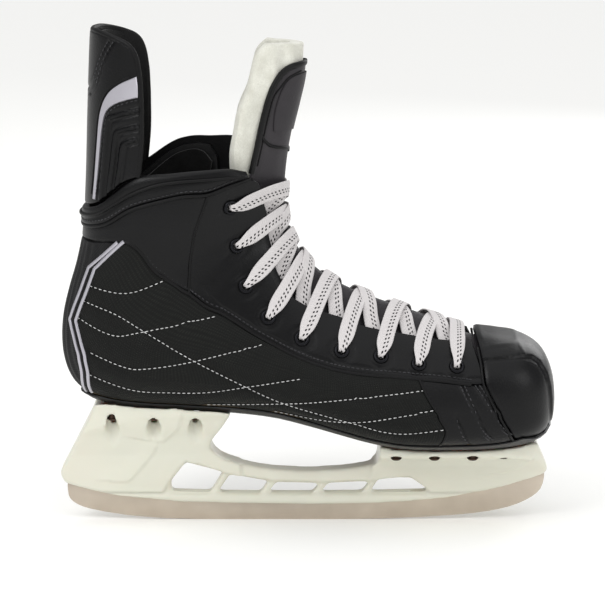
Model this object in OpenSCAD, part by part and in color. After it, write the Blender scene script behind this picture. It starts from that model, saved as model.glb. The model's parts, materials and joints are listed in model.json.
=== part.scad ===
// Ice hockey skate, right foot: stitched boot, plastic blade holder, steel runner.
// Toe points to +X, wearer's left (medial) is +Y, the ice is z = 0. Millimetres.

/* [Boot] */
// overall boot length, heel to toe cap
boot_length = 285; // [250:1:320]
// widest part of the boot across the ball of the foot
boot_width = 98; // [84:1:112]
// height from the underside of the boot front to the top of the tendon guard
boot_height = 240; // [200:1:275]
// how much higher the collar stands on the medial side
collar_rise = 11; // [0:1:14]
// thickness of the outer panels
panel_t = 2.2; // [1.8:0.1:2.6]
// thickness of the stiff lasted shell under the panels
shell_t = 3; // [2.5:0.1:3.5]
// gap left at seams between neighbouring panels
seam_gap = 0.8; // [0.6:0.1:1]

/* [Tongue] */
// thickness of the felt of the tongue
felt_t = 8; // [6:0.5:9]
// thickness of the vinyl face of the tongue
face_t = 1.4; // [1:0.1:1.8]

/* [Laces] */
// width of the flat lace
lace_w = 8; // [6:0.5:9]
// thickness of the flat lace
lace_t = 1.1; // [0.9:0.1:1.3]
// outside radius of an eyelet
eyelet_r = 4.4; // [4:0.1:5]

/* [Blade holder] */
// height from the ice to the underside of the boot at the front tower
holder_height = 48; // [44:1:54]
// width of the holder flange under the ball of the foot
flange_w = 60; // [50:1:66]
// width of the rail that carries the runner
rail_w = 13; // [11:0.5:15]
// thickness of the holder walls
wall = 3; // [2.4:0.2:3.6]

/* [Runner] */
// thickness of the steel runner
runner_t = 3; // [2.8:0.1:3.4]
// diameter of the runner bolts
bolt_d = 5; // [4:0.5:6]

/* [Hidden] */

kx = boot_length / 285;
ky = boot_width / 98;
kz = boot_height / 240;
lift = holder_height;

// a boot point in the side view, from the drawing size to the chosen size
function q2(p) = [p[0] * kx, lift + (p[1] - 48) * kz];

// Loft stations from the toe, back under the instep, round the heel and up the leg:
// lower or back point, upper or front point, half widths lateral and medial,
// sideways shift, where the section is widest, lower and upper roundness
ST0 = [
    [142.6, 68, 143.4, 74, 9, 9, 5, 0.5, 2.2, 2.2],
    [142.0, 62.5, 143.0, 81, 18, 18, 5, 0.45, 2.4, 2.4],
    [140.2, 58, 141.6, 90, 26, 26, 4.6, 0.42, 2.7, 2.7],
    [136.6, 54.8, 138.2, 98.2, 33, 33, 4, 0.4, 3.0, 2.9],
    [131, 52.8, 132.6, 104, 38, 38.5, 3.2, 0.38, 3.3, 3.0],
    [122.5, 51.4, 123.5, 108.6, 42, 42, 2.2, 0.37, 3.5, 3.0],
    [111, 50.6, 111, 111.6, 44.5, 44.5, 1.2, 0.36, 3.6, 2.8],
    [98, 50.2, 97, 114.2, 46.5, 46, 0.4, 0.35, 3.6, 2.4],
    [84, 50.2, 83, 118.6, 48, 47, 0, 0.34, 3.6, 2.1],
    [69, 50.4, 69, 123.2, 49, 47.5, -0.4, 0.33, 3.6, 1.9],
    [54, 51.2, 55.5, 127.8, 49, 47, -0.8, 0.33, 3.6, 1.8],
    [38, 53.6, 41.5, 132.8, 47.5, 45, -1, 0.33, 3.4, 1.75],
    [21, 57.8, 28, 138, 45.5, 42.5, -1, 0.34, 3.3, 1.75],
    [3, 62.4, 15.6, 144.2, 43, 40.5, -0.6, 0.36, 3.2, 1.75],
    [-18, 66.8, 5, 151.8, 40.5, 39, 0, 0.38, 3.0, 1.75],
    [-42, 69.2, -2.6, 160.4, 38.5, 38, 0, 0.41, 2.9, 1.8],
    [-69, 70.4, -7, 168.4, 37.5, 37.5, 0, 0.44, 2.8, 1.8],
    [-95, 71.4, -9.6, 174.8, 37, 37, 0, 0.46, 2.7, 1.85],
    [-114, 73.4, -11, 179.8, 36.5, 36.5, 0, 0.47, 2.6, 1.85],
    [-127.5, 78.2, -11.6, 184, 36.2, 36.2, 0, 0.48, 2.5, 1.9],
    [-135.6, 87, -11.9, 187.8, 36, 36, 0, 0.48, 2.4, 1.9],
    [-139.8, 98.6, -11.9, 191.4, 36, 36, 0, 0.48, 2.35, 1.9],
    [-140.9, 111.6, -11.8, 195, 36.2, 36.2, 0, 0.47, 2.3, 1.9],
    [-139.6, 125.4, -11.6, 198.8, 36.8, 36.8, 0, 0.47, 2.3, 1.9],
    [-136.2, 139.4, -11.3, 203, 37.6, 37.6, 0, 0.47, 2.3, 1.9],
    [-132, 153.6, -10.9, 207.6, 38.6, 38.6, 0, 0.47, 2.3, 1.95],
    [-128.8, 168.4, -10.3, 212.6, 39.4, 39.4, 0, 0.47, 2.3, 2.0],
    [-127, 184, -9.5, 218.4, 40, 40, 0, 0.46, 2.3, 2.1],
    [-125.8, 201, -8.3, 225.2, 40.4, 40.4, 0, 0.45, 2.3, 2.2],
    [-125, 220, -6.4, 234, 40.4, 40.4, 0, 0.44, 2.3, 2.3],
    [-124.2, 242, -3.4, 246, 40.2, 40.2, 0, 0.43, 2.3, 2.35],
    [-123.2, 266, 0.2, 263, 39.6, 39.6, 0, 0.42, 2.3, 2.4],
    [-122, 292, 1.4, 284, 38.6, 38.6, 0, 0.41, 2.3, 2.4]];
ST = [for (r = ST0) let (b = q2([r[0], r[1]]), f = q2([r[2], r[3]]))
    [b[0], b[1], f[0], f[1], r[4] * ky, r[5] * ky, r[6] * ky, r[7], r[8], r[9]]];
NS = len(ST) - 1;

function cr(a, b, c, d, t) = 0.5 * (2 * b + (c - a) * t + (2 * a - 5 * b + 4 * c - d) * t * t
    + (3 * b - a - 3 * c + d) * t * t * t);
function row(i) = ST[max(0, min(NS, i))];
function sta(s) = let (c = max(0, min(s, NS - 0.0001)), i = floor(c))
    cr(row(i - 1), row(i), row(i + 1), row(i + 2), c - i);

// a point of the boot's outer surface: station s, angle f round the section,
// 0 at the bottom or back, 180 at the top or front, negative on the lateral side
function spt(s, f) = let (g = f > 180 ? f - 360 : (f < -180 ? f + 360 : f), r = sta(s),
    a = abs(g), sg = g < 0 ? -1 : 1, w = g < 0 ? r[4] : r[5], m = r[7],
    e = a <= 90 ? 2 / r[8] : 2 / r[9],
    y = w * pow(max(sin(a), 0), e),
    t = a <= 90 ? m - m * pow(max(cos(a), 0), e) : m + (1 - m) * pow(max(-cos(a), 0), e))
    [r[0] + (r[2] - r[0]) * t, r[6] + sg * y, r[1] + (r[3] - r[1]) * t];
function nrm(s, f) = let (a = spt(max(s - 0.08, 0), f), b = spt(min(s + 0.08, NS), f),
    c = spt(s, f - 2.5), d = spt(s, f + 2.5), n = cross(b - a, d - c)) n / norm(n);
function osp(p, o) = spt(p[0], p[1]) + nrm(p[0], p[1]) * o;

// station and angle of a side-view point
function beyond(s, p) = let (r = sta(s)) (r[2] - r[0]) * (p[1] - r[1])
    - (r[3] - r[1]) * (p[0] - r[0]);
function find_s(p, lo, hi, n) = n == 0 ? (lo + hi) / 2 : let (mid = (lo + hi) / 2)
    beyond(mid, p) > 0 ? find_s(p, mid, hi, n - 1) : find_s(p, lo, mid, n - 1);
function sf(p0, side) = let (p = q2(p0), s = find_s(p, 0, NS, 22), r = sta(s),
    dx = r[2] - r[0], dz = r[3] - r[1],
    t = max(0, min(1, ((p[0] - r[0]) * dx + (p[1] - r[1]) * dz) / (dx * dx + dz * dz))),
    m = r[7],
    f = t <= m ? acos(pow((m - t) / m, r[8] / 2)) : 180 - acos(pow((t - m) / (1 - m), r[9] / 2)))
    [s, side * f];
function line(pts, side) = [for (p = pts) sf(p, side)];
function rev(a) = [for (i = [len(a) - 1:-1:0]) a[i]];
function cat(a, b) = [for (v = a) v, for (v = b) v];
// the same list, mirrored to the other side
function flip(a) = [for (p = a) [p[0], -p[1]]];

// running length along a list of surface positions, and a smooth point at fraction u
function lens(k, i = 0, acc = [0]) = i >= len(k) - 1 ? acc
    : lens(k, i + 1, cat(acc, [acc[i] + norm(spt(k[i + 1][0], k[i + 1][1])
        - spt(k[i][0], k[i][1])) + 0.001]));
function seg(l, v, i = 0) = i >= len(l) - 2 || v <= l[i + 1] ? i : seg(l, v, i + 1);
function at(c, u) = let (k = c[0], l = c[1], n = len(k), v = max(0, min(1, u)) * l[n - 1],
    i = seg(l, v), t = (v - l[i]) / (l[i + 1] - l[i]))
    cr(k[max(i - 1, 0)], k[i], k[i + 1], k[min(i + 2, n - 1)], t);
function curve(k) = [k, lens(k)];

// a Coons patch between four curves: low and high run with u, start and end run with v
function coons(c, u, v) = (1 - v) * at(c[0], u) + v * at(c[1], u) + (1 - u) * at(c[2], v)
    + u * at(c[3], v) - ((1 - u) * (1 - v) * at(c[0], 0) + u * (1 - v) * at(c[0], 1)
    + (1 - u) * v * at(c[1], 0) + u * v * at(c[1], 1));
function turned(c) = let (a = coons(c, 0.5, 0.5), b = coons(c, 0.55, 0.5), d = coons(c, 0.5, 0.55))
    (b[0] - a[0]) * (d[1] - a[1]) - (b[1] - a[1]) * (d[0] - a[0]) < 0;

// a closed solid between an outer and an inner grid of points, nu by nv cells
module two_sided(outer, inner, nu, nv, back) {
    w = nv + 1;
    n = (nu + 1) * w;
    top = [for (i = [0:nu - 1]) for (j = [0:nv - 1]) let (a = i * w + j, b = a + w)
        each [[a, b, b + 1], [a, b + 1, a + 1]]];
    low = [for (t = top) [t[0] + n, t[2] + n, t[1] + n]];
    rim = cat(cat([for (i = [0:nu - 1]) i * w], [for (j = [0:nv - 1]) nu * w + j]),
        cat([for (i = [nu:-1:1]) i * w + nv], [for (j = [nv:-1:1]) j]));
    k = len(rim);
    side = [for (i = [0:k - 1]) let (a = rim[i], b = rim[(i + 1) % k])
        each [[b, a, a + n], [b, a + n, b + n]]];
    all = cat(cat(top, low), side);
    polyhedron(cat(outer, inner), back ? all : [for (t = all) [t[0], t[2], t[1]]], convexity = 8);
}

// a panel of the boot between two offsets from the outer surface, gu and gv mm free at its ends
module panel(c, nu, nv, o0, o1, gu0, gu1, gv0, gv1, thin = 0) {
    lu = (c[0][1][len(c[0][1]) - 1] + c[1][1][len(c[1][1]) - 1]) / 2;
    lv = (c[2][1][len(c[2][1]) - 1] + c[3][1][len(c[3][1]) - 1]) / 2;
    g = [for (i = [0:nu]) for (j = [0:nv])
        coons(c, gu0 / lu + (1 - (gu0 + gu1) / lu) * i / nu,
            gv0 / lv + (1 - (gv0 + gv1) / lv) * j / nv)];
    // thin takes that much off the outer face towards the edges
    e = [for (i = [0:nu]) for (j = [0:nv]) o1 - thin * pow(max(abs(2 * i / nu - 1) * (nu / (nu + 3)),
        abs(2 * j / nv - 1)), 5)];
    two_sided([for (i = [0:len(g) - 1]) osp(g[i], e[i])], [for (p = g) osp(p, o0)], nu, nv,
        turned(c));
}

// a flat band laid along a list of [position, surface normal, width, thickness]
module band(r) {
    n = len(r);
    t = [for (i = [0:n - 1]) let (d = r[min(i + 1, n - 1)][0] - r[max(i - 1, 0)][0]) d / norm(d)];
    p = [for (i = [0:n - 1]) let (b0 = cross(r[i][1], t[i]), b = b0 / norm(b0),
        m0 = cross(t[i], b), m = m0 / norm(m0), w = b * r[i][2] / 2, h = m * r[i][3] / 2)
        each [r[i][0] - w - h, r[i][0] + w - h, r[i][0] + w + h, r[i][0] - w + h]];
    f = [for (i = [0:n - 2]) for (j = [0:3]) let (a = i * 4 + j, b = i * 4 + (j + 1) % 4)
        each [[a, b, b + 4], [a, b + 4, a + 4]]];
    e = (n - 1) * 4;
    polyhedron(p, cat(f, [[0, 2, 1], [0, 3, 2], [e, e + 1, e + 2], [e, e + 2, e + 3]]),
        convexity = 10);
}
// a thin trim strip along surface positions
module trim(k, n, w, o, t) {
    c = curve(k);
    band([for (i = [0:n]) let (p = at(c, i / n)) [osp(p, o), nrm(p[0], p[1]), w, t]]);
}

// seam lines in the side view, lateral side
SOLE = [[124, 57.5], [111, 54.6], [98, 53.9], [84, 53.7], [76, 53.6], [60, 54], [42, 56], [24, 60],
    [5, 65], [-13, 69.5], [-31, 71.8], [-58, 73.2], [-76, 74], [-95, 74.8], [-108, 76], [-118, 77.9]];
THROAT = [[95.5, 110.5], [76, 113], [56, 116.5], [36.3, 120.3], [24, 124.8], [8, 129.4],
    [-1, 133.4], [-8.6, 139], [-13.4, 146.5], [-17.5, 155.5], [-19.9, 167.7], [-21.8, 184], [-25, 198]];
FACING_LOW = [[100.6, 90], [93.6, 89.9], [71.9, 92.7], [46.9, 95], [13.6, 99.4], [-3.4, 105],
    [-25, 115.8], [-48.2, 130], [-66, 141]];
FACING_BACK = [[-66, 141], [-65.4, 160.8], [-62.6, 177], [-57.5, 191], [-55, 198]];
FACING_TOP = [[-55, 198], [-43, 202.5], [-32, 206], [-27, 203.5], [-25, 198]];
TEXTILE_TOP = [[-66, 141], [-80.8, 150.8], [-91.8, 163.2], [-98.8, 169.6], [-104, 170.2]];
HEEL_V = [[-104, 170.2], [-121, 154], [-132.7, 123], [-128, 104], [-124.5, 80.4]];
QUARTER_FRONT = [[76, 53.6], [79.7, 62], [78.5, 67], [72.7, 77.4], [67.5, 86], [64, 93.6]];
CAP_REAR = [[118.4, 56.1], [115, 62.5], [109.7, 75.6], [103.5, 84], [100.6, 90]];
CAP_TOP = [[100.6, 90], [99.4, 100], [97.8, 108], [96.5, 113], [96.2, 120]];
BAND_LOW = [[-32, 206], [-43, 202.5], [-55, 198], [-68, 197.2], [-82, 194.2], [-98.5, 189],
    [-111.8, 180.5], [-121, 177.6]];
BAND_TOP = [[-33, 209.6], [-42, 212], [-55, 212], [-73, 210.6], [-92, 209], [-101, 204.5],
    [-110, 197], [-119, 190]];
GUARD_LOW = [[-97, 213], [-103, 206.4], [-111, 199.4], [-119, 192.6]];
GUARD_FRONT = [[-97, 213], [-94.6, 228], [-93, 243], [-92.8, 253], [-93.2, 262.6],
    [-95.5, 273], [-100, 280.5]];
GUARD_TOP = [[-100, 280.5], [-106, 284.5], [-113, 287], [-119, 288]];
SHELL_EDGE = [[112, 84], [98, 90.6], [85, 91.9], [64, 93.9], [42, 96.4], [20, 99.6], [-5, 106.5], [-25, 117],
    [-40, 133], [-44, 150], [-48, 170], [-50, 186], [-51, 199]];
SHELL_TOP = [[-51, 199], [-56, 206], [-73, 205.5], [-92, 203.5], [-102, 197], [-112, 188], [-120, 184.5]];
PAD_LOW = [[-47, 138], [-75, 128], [-105, 122], [-128, 123]];
PAD_TOP = [[-53, 197], [-60, 203], [-73, 202.5], [-91, 200.5], [-101, 194.5], [-112, 186], [-121, 182]];
TONGUE_EDGE = [[103, 103], [88, 103.5], [70, 105.5], [50, 109], [34, 112], [18, 116.5], [2, 122],
    [-12, 131], [-20, 141], [-25, 152], [-29, 166], [-31, 182], [-33, 200], [-34.5, 212]];
FELT_EDGE = [[-35.5, 214], [-35.4, 222], [-33.6, 236], [-31, 249], [-26.5, 262], [-22, 272], [-15.5, 281]];
COVER_EDGE = [[-25.2, 214], [-24.5, 218], [-20.4, 235.5], [-16.3, 252.6], [-9, 265.5]];
EYELETS = [[-42.6, 189.8], [-39.2, 167.3], [-34.1, 144.7], [-21.4, 127.3], [-2.3, 115.4],
    [20.2, 108.9], [42.5, 105.7], [63.9, 101.4], [85.6, 99.7]];

// depths of the layers below the outer surface
shell_o = -(panel_t + 0.8);
pad_o = shell_o - shell_t - 0.6;

// the rings that close the sole plates round the toe and the heel
toe_ring = let (a = sf([124, 57.5], -1)) cat([a, [3.3, -38], [2.3, -30], [1.6, -16], [1.4, 0]],
    [[1.6, 16], [2.3, 30], [3.3, 38], [a[0], -a[1]]]);
heel_ring = let (a = sf([-118, 77.9], -1)) cat([a, [19, -13], [19.25, 0]], [[19, 13], [a[0], -a[1]]]);
function around(lateral, mid) = let (a = line(lateral, -1)) cat(cat(a, [mid]), rev(flip(a)));
// a collar line, which climbs on the medial side in front of the tendon guard
function smooth(t) = let (c = max(0, min(1, t))) c * c * (3 - 2 * c);
function raised(a) = [for (p = a) [p[0], p[1] + collar_rise * smooth((p[0] + 97) / 25)
    * smooth((p[1] - 180) / 20)]];
function collar(lateral, mid) = cat(cat(line(lateral, -1), [mid]), rev(line(raised(lateral), 1)));

// one plate of the sole, g mm in from the sole line
module plate(nu, nv, o0, o1, g, from, thin = 0) {
    side = line([for (p = SOLE) if (p[0] < from) p], -1);
    head = from > 124 ? toe_ring : [side[0], [side[0][0], side[0][1] / 2], [side[0][0], 0],
        [side[0][0], -side[0][1] / 2], [side[0][0], -side[0][1]]];
    panel([curve(side), curve(flip(side)), curve(head), curve(heel_ring)], nu, nv, o0, o1,
        g, g, g, g, thin);
}

module toe_cap() {
    // moulded cup round the toes, closed at the tip and under the toes
    edge = let (a = line(CAP_REAR, -1), b = line(CAP_TOP, -1))
        cat([[0, a[0][0] - 0.1]], [for (p = cat(a, b)) [-p[1], p[0]]]);
    nf = 36;
    rows = [0, 0.07, 0.17, 0.29, 0.43, 0.58, 0.74, 0.88, 1];
    nr = len(rows);
    g = [for (u = rows) for (j = [0:nf - 1]) let (f = -180 + 360 * j / nf,
        e = lookup(abs(f), edge) - 0.12) [e * u, f]];
    outer = [for (p = g) osp(p, 0)];
    inner = [for (p = g) osp(p, -panel_t)];
    tip = spt(0, 180) * 0.5 + spt(0, 0) * 0.5;
    n = nr * nf;
    sk = [for (i = [0:nr - 2]) for (j = [0:nf - 1]) let (a = i * nf + j, b = i * nf + (j + 1) % nf,
        c = a + nf, d = b + nf) each [[a, c, d], [a, d, b]]];
    nose = [for (j = [0:nf - 1]) [2 * n, j, (j + 1) % nf]];
    inside = [for (t = sk) [t[0] + n, t[2] + n, t[1] + n]];
    inose = [for (t = nose) [2 * n + 1, t[2] + n, t[1] + n]];
    e = (nr - 1) * nf;
    rim = [for (j = [0:nf - 1]) let (a = e + j, b = e + (j + 1) % nf)
        each [[a, a + n, b + n], [a, b + n, b]]];
    color([0.1, 0.1, 0.11])
    polyhedron(cat(cat(outer, inner), [tip, tip - [panel_t, 0, 0]]),
        cat(cat(cat(sk, nose), cat(inside, inose)), rim), convexity = 8);
}

module vamp(side) {
    s = seam_gap;
    color([0.11, 0.11, 0.12])
    panel([curve(line([[76, 53.6], [84, 53.7], [98, 53.9], [111, 54.6], [118.4, 56.1]], side)),
        curve(line([[64, 93.6], [71.9, 92.7], [84, 91.2], [93.6, 89.9], [100.6, 90]], side)),
        curve(line(QUARTER_FRONT, side)), curve(line(CAP_REAR, side))],
        8, 7, -panel_t, 0, s / 2, s, s / 2, s / 2);
}
module vamp_lateral() { vamp(-1); }
module vamp_medial() { vamp(1); }

module quarter(side) {
    s = seam_gap / 2;
    low = [for (i = [4:15]) SOLE[i]];
    color([0.13, 0.13, 0.13])
    panel([curve(line(cat(low, [[-124.5, 80.4]]), side)),
        curve(line(cat([[64, 93.6], [46.9, 95], [13.6, 99.4], [-3.4, 105], [-25, 115.8],
            [-48.2, 130], [-66, 141]], [for (i = [1:4]) TEXTILE_TOP[i]]), side)),
        curve(line(QUARTER_FRONT, side)), curve(line(rev(HEEL_V), side))],
        24, 9, -panel_t, 0, s, s, s, s);
}
module quarter_lateral() { quarter(-1); }
module quarter_medial() { quarter(1); }

module ankle(side) {
    s = seam_gap / 2;
    back = [sf([-128.5, 171], 0), sf([-127.6, 177.6], 0)];
    color([0.1, 0.1, 0.11])
    panel([curve(cat(cat(line(TEXTILE_TOP, side), line([[-109, 170.7], [-116, 171]], side)),
        [back[0]])),
        curve(cat(line([for (i = [2:7]) BAND_LOW[i]], side), [back[1]])),
        curve(line(FACING_BACK, side)), curve(back)],
        13, 6, -panel_t, 0, s, 0.4, s, s);
}
module ankle_lateral() { ankle(-1); }
module ankle_medial() { ankle(1); }

module facing(side) {
    s = seam_gap / 2;
    color([0.08, 0.08, 0.09])
    difference() {
        panel([curve(line(FACING_LOW, side)), curve(line(THROAT, side)),
            curve(line([[100.6, 90], [99.4, 100], [95.5, 110.5]], side)),
            curve(line(cat(FACING_BACK, [for (i = [1:4]) FACING_TOP[i]]), side))],
            24, 8, -panel_t, 0, s, s, s, 0);
        for (e = EYELETS) let (p = sf(e, side), n = nrm(p[0], p[1]))
            translate(spt(p[0], p[1])) orient(n) cylinder(r = eyelet_r - 1.1, h = 14, center = true,
                $fn = 24);
    }
}
module facing_lateral() { facing(-1); }
module facing_medial() { facing(1); }

// turns +Z to direction n
module orient(n) {
    rotate([0, acos(n[2] / norm(n)), atan2(n[1], n[0])]) children();
}

module collar_band() {
    s = seam_gap / 2;
    low = around(BAND_LOW, sf([-127.6, 177.6], 0));
    top = collar(BAND_TOP, sf([-126.4, 187.2], 0));
    color([0.09, 0.09, 0.1])
    panel([curve(low), curve(top), curve([low[0], top[0]]),
        curve([low[len(low) - 1], top[len(top) - 1]])], 34, 4, -panel_t, 1.2, 0.4, 0.4, s, s);
}

module heel_counter() {
    s = seam_gap / 2;
    low = cat(cat([sf([-124.5, 80.4], -1)], [[19.3, -8], [19.45, 0]]),
        [[19.3, 8], sf([-124.5, 80.4], 1)]);
    top = around([[-104, 170.2], [-109, 169.6], [-116, 169.4]], sf([-128.7, 169.4], 0));
    left = rev(line(HEEL_V, -1));
    color([0.15, 0.15, 0.16])
    panel([curve(low), curve(top), curve(left), curve(flip(left))],
        14, 12, -panel_t, 0, s, s, s, s);
}

module heel_piping() {
    color([0.78, 0.77, 0.8])
    for (side = [-1, 1]) for (d = [0, 3.4])
        trim(line([for (p = HEEL_V) [p[0] + d - 2.2, p[1] + (p[1] > 160 ? d * 0.2 : 0)]], side),
            14, 1.8, 0.8, 0.9);
}

module collar_piping() {
    color([0.16, 0.16, 0.17])
    trim(collar([[-36, 208], [-50, 207], [-70, 205.8], [-84, 203.6], [-97, 198.4], [-108, 191.4],
        [-118, 185]], sf([-127, 183.2], 0)), 40, 1.8, 2, 1);
}

module lasted_shell() {
    // stiff liner shell from the ball of the foot round the heel to the collar
    edge = line(SHELL_EDGE, -1);
    front = let (a = edge[0]) [a, [a[0], a[1] * 0.75], [a[0], a[1] * 0.45], [a[0], 0],
        [a[0], -a[1] * 0.45], [a[0], -a[1] * 0.75], [a[0], -a[1]]];
    color([0.2, 0.2, 0.21])
    panel([curve(edge), curve(line(raised(SHELL_EDGE), 1)), curve(front),
        curve(collar(SHELL_TOP, sf([-127, 182.8], 0)))],
        36, 26, shell_o - shell_t, shell_o, 0, 0, 0, 0);
}

module ankle_padding() {
    low = around(PAD_LOW, sf([-139.2, 128], 0));
    top = collar(PAD_TOP, sf([-127.2, 180.6], 0));
    a = low[0];
    b = top[0];
    c = low[len(low) - 1];
    d = top[len(top) - 1];
    color([0.12, 0.12, 0.13])
    panel([curve(low), curve(top), curve([a, (a + b) / 2, b]), curve([c, (c + d) / 2, d])],
        22, 7, pad_o - 4.5, pad_o, 0, 0, 0, 0);
}

module toe_cushion() {
    // foam lining inside the toe cap
    color([0.16, 0.16, 0.17])
    panel([curve([[2.6, -85], [3.8, -85], [5, -86]]), curve([[2.6, -275], [3.8, -275], [5, -274]]),
        curve([for (f = [-85:-19:-275]) [2.6, f]]), curve([for (f = [-86:-18.8:-274]) [5, f]])],
        5, 12, -(panel_t + 3.6), -(panel_t + 0.6), 0, 0, 0, 0);
}

module insole_board() {
    color([0.42, 0.4, 0.36])
    plate(26, 7, -panel_t, 0, 1, 112);
}
module outsole() {
    color([0.07, 0.07, 0.08])
    plate(34, 8, 0.8, 2.9, -0.2, 200, 1.4);
}
module footbed() {
    color([0.24, 0.24, 0.27])
    panel([curve(line([for (i = [1:14]) SOLE[i]], -1)), curve(line([for (i = [1:14]) SOLE[i]], 1)),
        curve([for (f = [-1, -0.6, 0, 0.6, 1]) [5.2, f * 42]]),
        curve([for (f = [-1, -0.6, 0, 0.6, 1]) [17.6, f * 30]])],
        24, 6, pad_o - 4, pad_o, 0, 0, 3, 3);
}

module eyelets() {
    // pressed metal rings with a barrel through the facing
    color([0.13, 0.13, 0.14])
    for (side = [-1, 1]) for (e = EYELETS) let (p = sf(e, side), n = nrm(p[0], p[1]))
        translate(spt(p[0], p[1])) orient(n) rotate_extrude($fn = 24)
            polygon([[eyelet_r - 2, -panel_t - 0.8], [eyelet_r - 1.3, -panel_t - 0.8],
                [eyelet_r - 1.3, 0.35], [eyelet_r, 0.35], [eyelet_r - 0.4, 1], [eyelet_r - 1.6, 1.1],
                [eyelet_r - 2, 0.7]]);
}

// how deep the tongue's face lies below the boot surface at a surface position
throat_f = [for (p = THROAT) let (a = sf(p, 1)) [a[0], 180 - a[1]]];
function depth(p) = let (e = lookup(p[0], throat_f), a = 180 - abs(abs(p[1]) > 180
    ? 360 - abs(p[1]) : p[1])) -0.8 - (panel_t + 4.2) * smooth(a / e / 1.05)
    - (panel_t + 0.6) * smooth(8.3 - p[0]);
function tsp(p, o) = osp(p, depth(p) + o);
// one layer of the tongue from its edge line, ends trimmed by station
module tongue(edge, s0, s1, nu, nv, o0, o1) {
    k = curve(line(edge, -1));
    g = [for (i = [0:nu]) for (j = [0:nv]) let (a = at(k, s0 + (s1 - s0) * i / nu), w = 180 + a[1])
        [a[0], -180 - w * (2 * j / nv - 1)]];
    two_sided([for (p = g) tsp(p, o1)], [for (p = g) tsp(p, o0)], nu, nv, false);
}
module tongue_face_lower() {
    color([0.2, 0.19, 0.2]) tongue(TONGUE_EDGE, 0, 0.985, 20, 10, -face_t, 0);
}
module tongue_felt_lower() {
    color([0.86, 0.86, 0.8]) tongue(TONGUE_EDGE, 0, 0.985, 20, 10, -face_t - 0.4 - felt_t,
        -face_t - 0.4);
}
module tongue_face_upper() {
    color([0.26, 0.25, 0.26]) tongue(COVER_EDGE, 0.03, 1, 10, 8, -face_t, 0);
}
module tongue_felt_upper() {
    color([0.87, 0.87, 0.81]) tongue(FELT_EDGE, 0.03, 1, 12, 10, -face_t - 0.4 - felt_t,
        -face_t - 0.4);
}
module tongue_patch() {
    color([0.3, 0.29, 0.3]) tongue([[-15, 228], [-14, 240], [-11, 252], [-6, 262]], 0, 1, 8, 6,
        0.3, 1.1);
}

module guard(o0, o1, inset, nu, nv) {
    low = around(GUARD_LOW, sf([-126.3, 188.6], 0));
    top = around(GUARD_TOP, sf([-122.2, 288], 0));
    left = line(GUARD_FRONT, -1);
    panel([curve(low), curve(top), curve(left), curve(flip(left))], nu, nv, o0, o1,
        inset, inset, inset, inset);
}
module tendon_guard() {
    color([0.14, 0.14, 0.15]) guard(-2.6, 0.4, 0.4, 20, 12);
}
module guard_lining() {
    color([0.06, 0.06, 0.06]) guard(-6, -3, 2, 16, 10);
}
module guard_trim() {
    color([0.78, 0.77, 0.8]) for (side = [-1, 1])
        panel([curve(line([[-120.5, 196], [-117.6, 225], [-114.3, 247], [-106, 257], [-96, 263.5]], side)),
            curve(line([[-118, 196], [-114.6, 223], [-112, 238], [-107.5, 245], [-95.6, 251.5]], side)),
            curve(line([[-120.5, 196], [-118, 196]], side)),
            curve(line([[-96, 263.5], [-95.4, 257.5], [-95.6, 251.5]], side))],
            14, 3, 0.7, 1.4, 0, 0, 0, 0);
}

// heights in the holder: the rail stays, the towers stretch up to the sole
function hz(z) = z < 27 ? z : 27 + (z - 27) * (lift - 27) / 21;
function hp(a) = [for (p = a) [p[0] * kx, hz(p[1])]];
function rounded(a, n) = let (m = len(a)) [for (i = [0:m - 2]) for (j = [0:n - 1])
    cr(a[max(i - 1, 0)], a[i], a[i + 1], a[min(i + 2, m - 1)], j / n)];
top_line = [for (s = [18:-0.5:3.7]) let (r = sta(s)) [r[0], r[1] - 3.5]];
BLADE_LINE = [[-141.6, 24.6], [-138.9, 22.6], [-119.7, 17], [-100.4, 14], [-71.5, 11.4], [-42, 10.3],
    [0, 10], [45.5, 11], [73.8, 13], [92.7, 15.8], [112, 20], [131, 26], [139.6, 29.6]];
module side_profile() {
    difference() {
        polygon(cat(cat(hp(cat([[140.6, 31], [140.7, 34]], [[134, 49]])),
            cat(rev(top_line), [[-122.5 * kx, top_line[0][1]]])),
            cat(hp([[-143, 31], [-143, 28]]), hp(rounded(BLADE_LINE, 3)))));
        // large window between the towers
        polygon(cat(hp(rounded([[-40, 70], [-46, 62], [-52, 54], [-55.4, 48], [-54, 43], [-48, 38.4],
            [-37, 34.8], [-21, 31.8], [0, 30.6], [20, 31.6], [34, 33.6], [40, 35.6], [42, 39],
            [42.4, 46]], 3)), [[43 * kx, lift + 30], [0, lift + 60], [-34 * kx, lift + 60]]));
        // row of five cells between slanted ribs
        for (c = [[[-79, 17.6], [-56, 16.8], [-48, 29.4], [-70, 35.6], [-79, 24]],
            [[-52, 16.6], [-26.5, 16.4], [-21.5, 23.8], [-44.5, 28]],
            [[-22.5, 16.4], [4, 16.4], [9, 22.6], [-17.5, 23.2]],
            [[8, 16.4], [33, 16.6], [38, 23.8], [13, 22.7]],
            [[37, 16.6], [73, 17.6], [62, 26], [50, 26.2], [42, 24.8]]])
            polygon([for (p = c) [p[0] * kx, p[1]]]);
    }
}
module swept_side(w) {
    rotate([90, 0, 0]) linear_extrude(w, center = true) side_profile();
}
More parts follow.
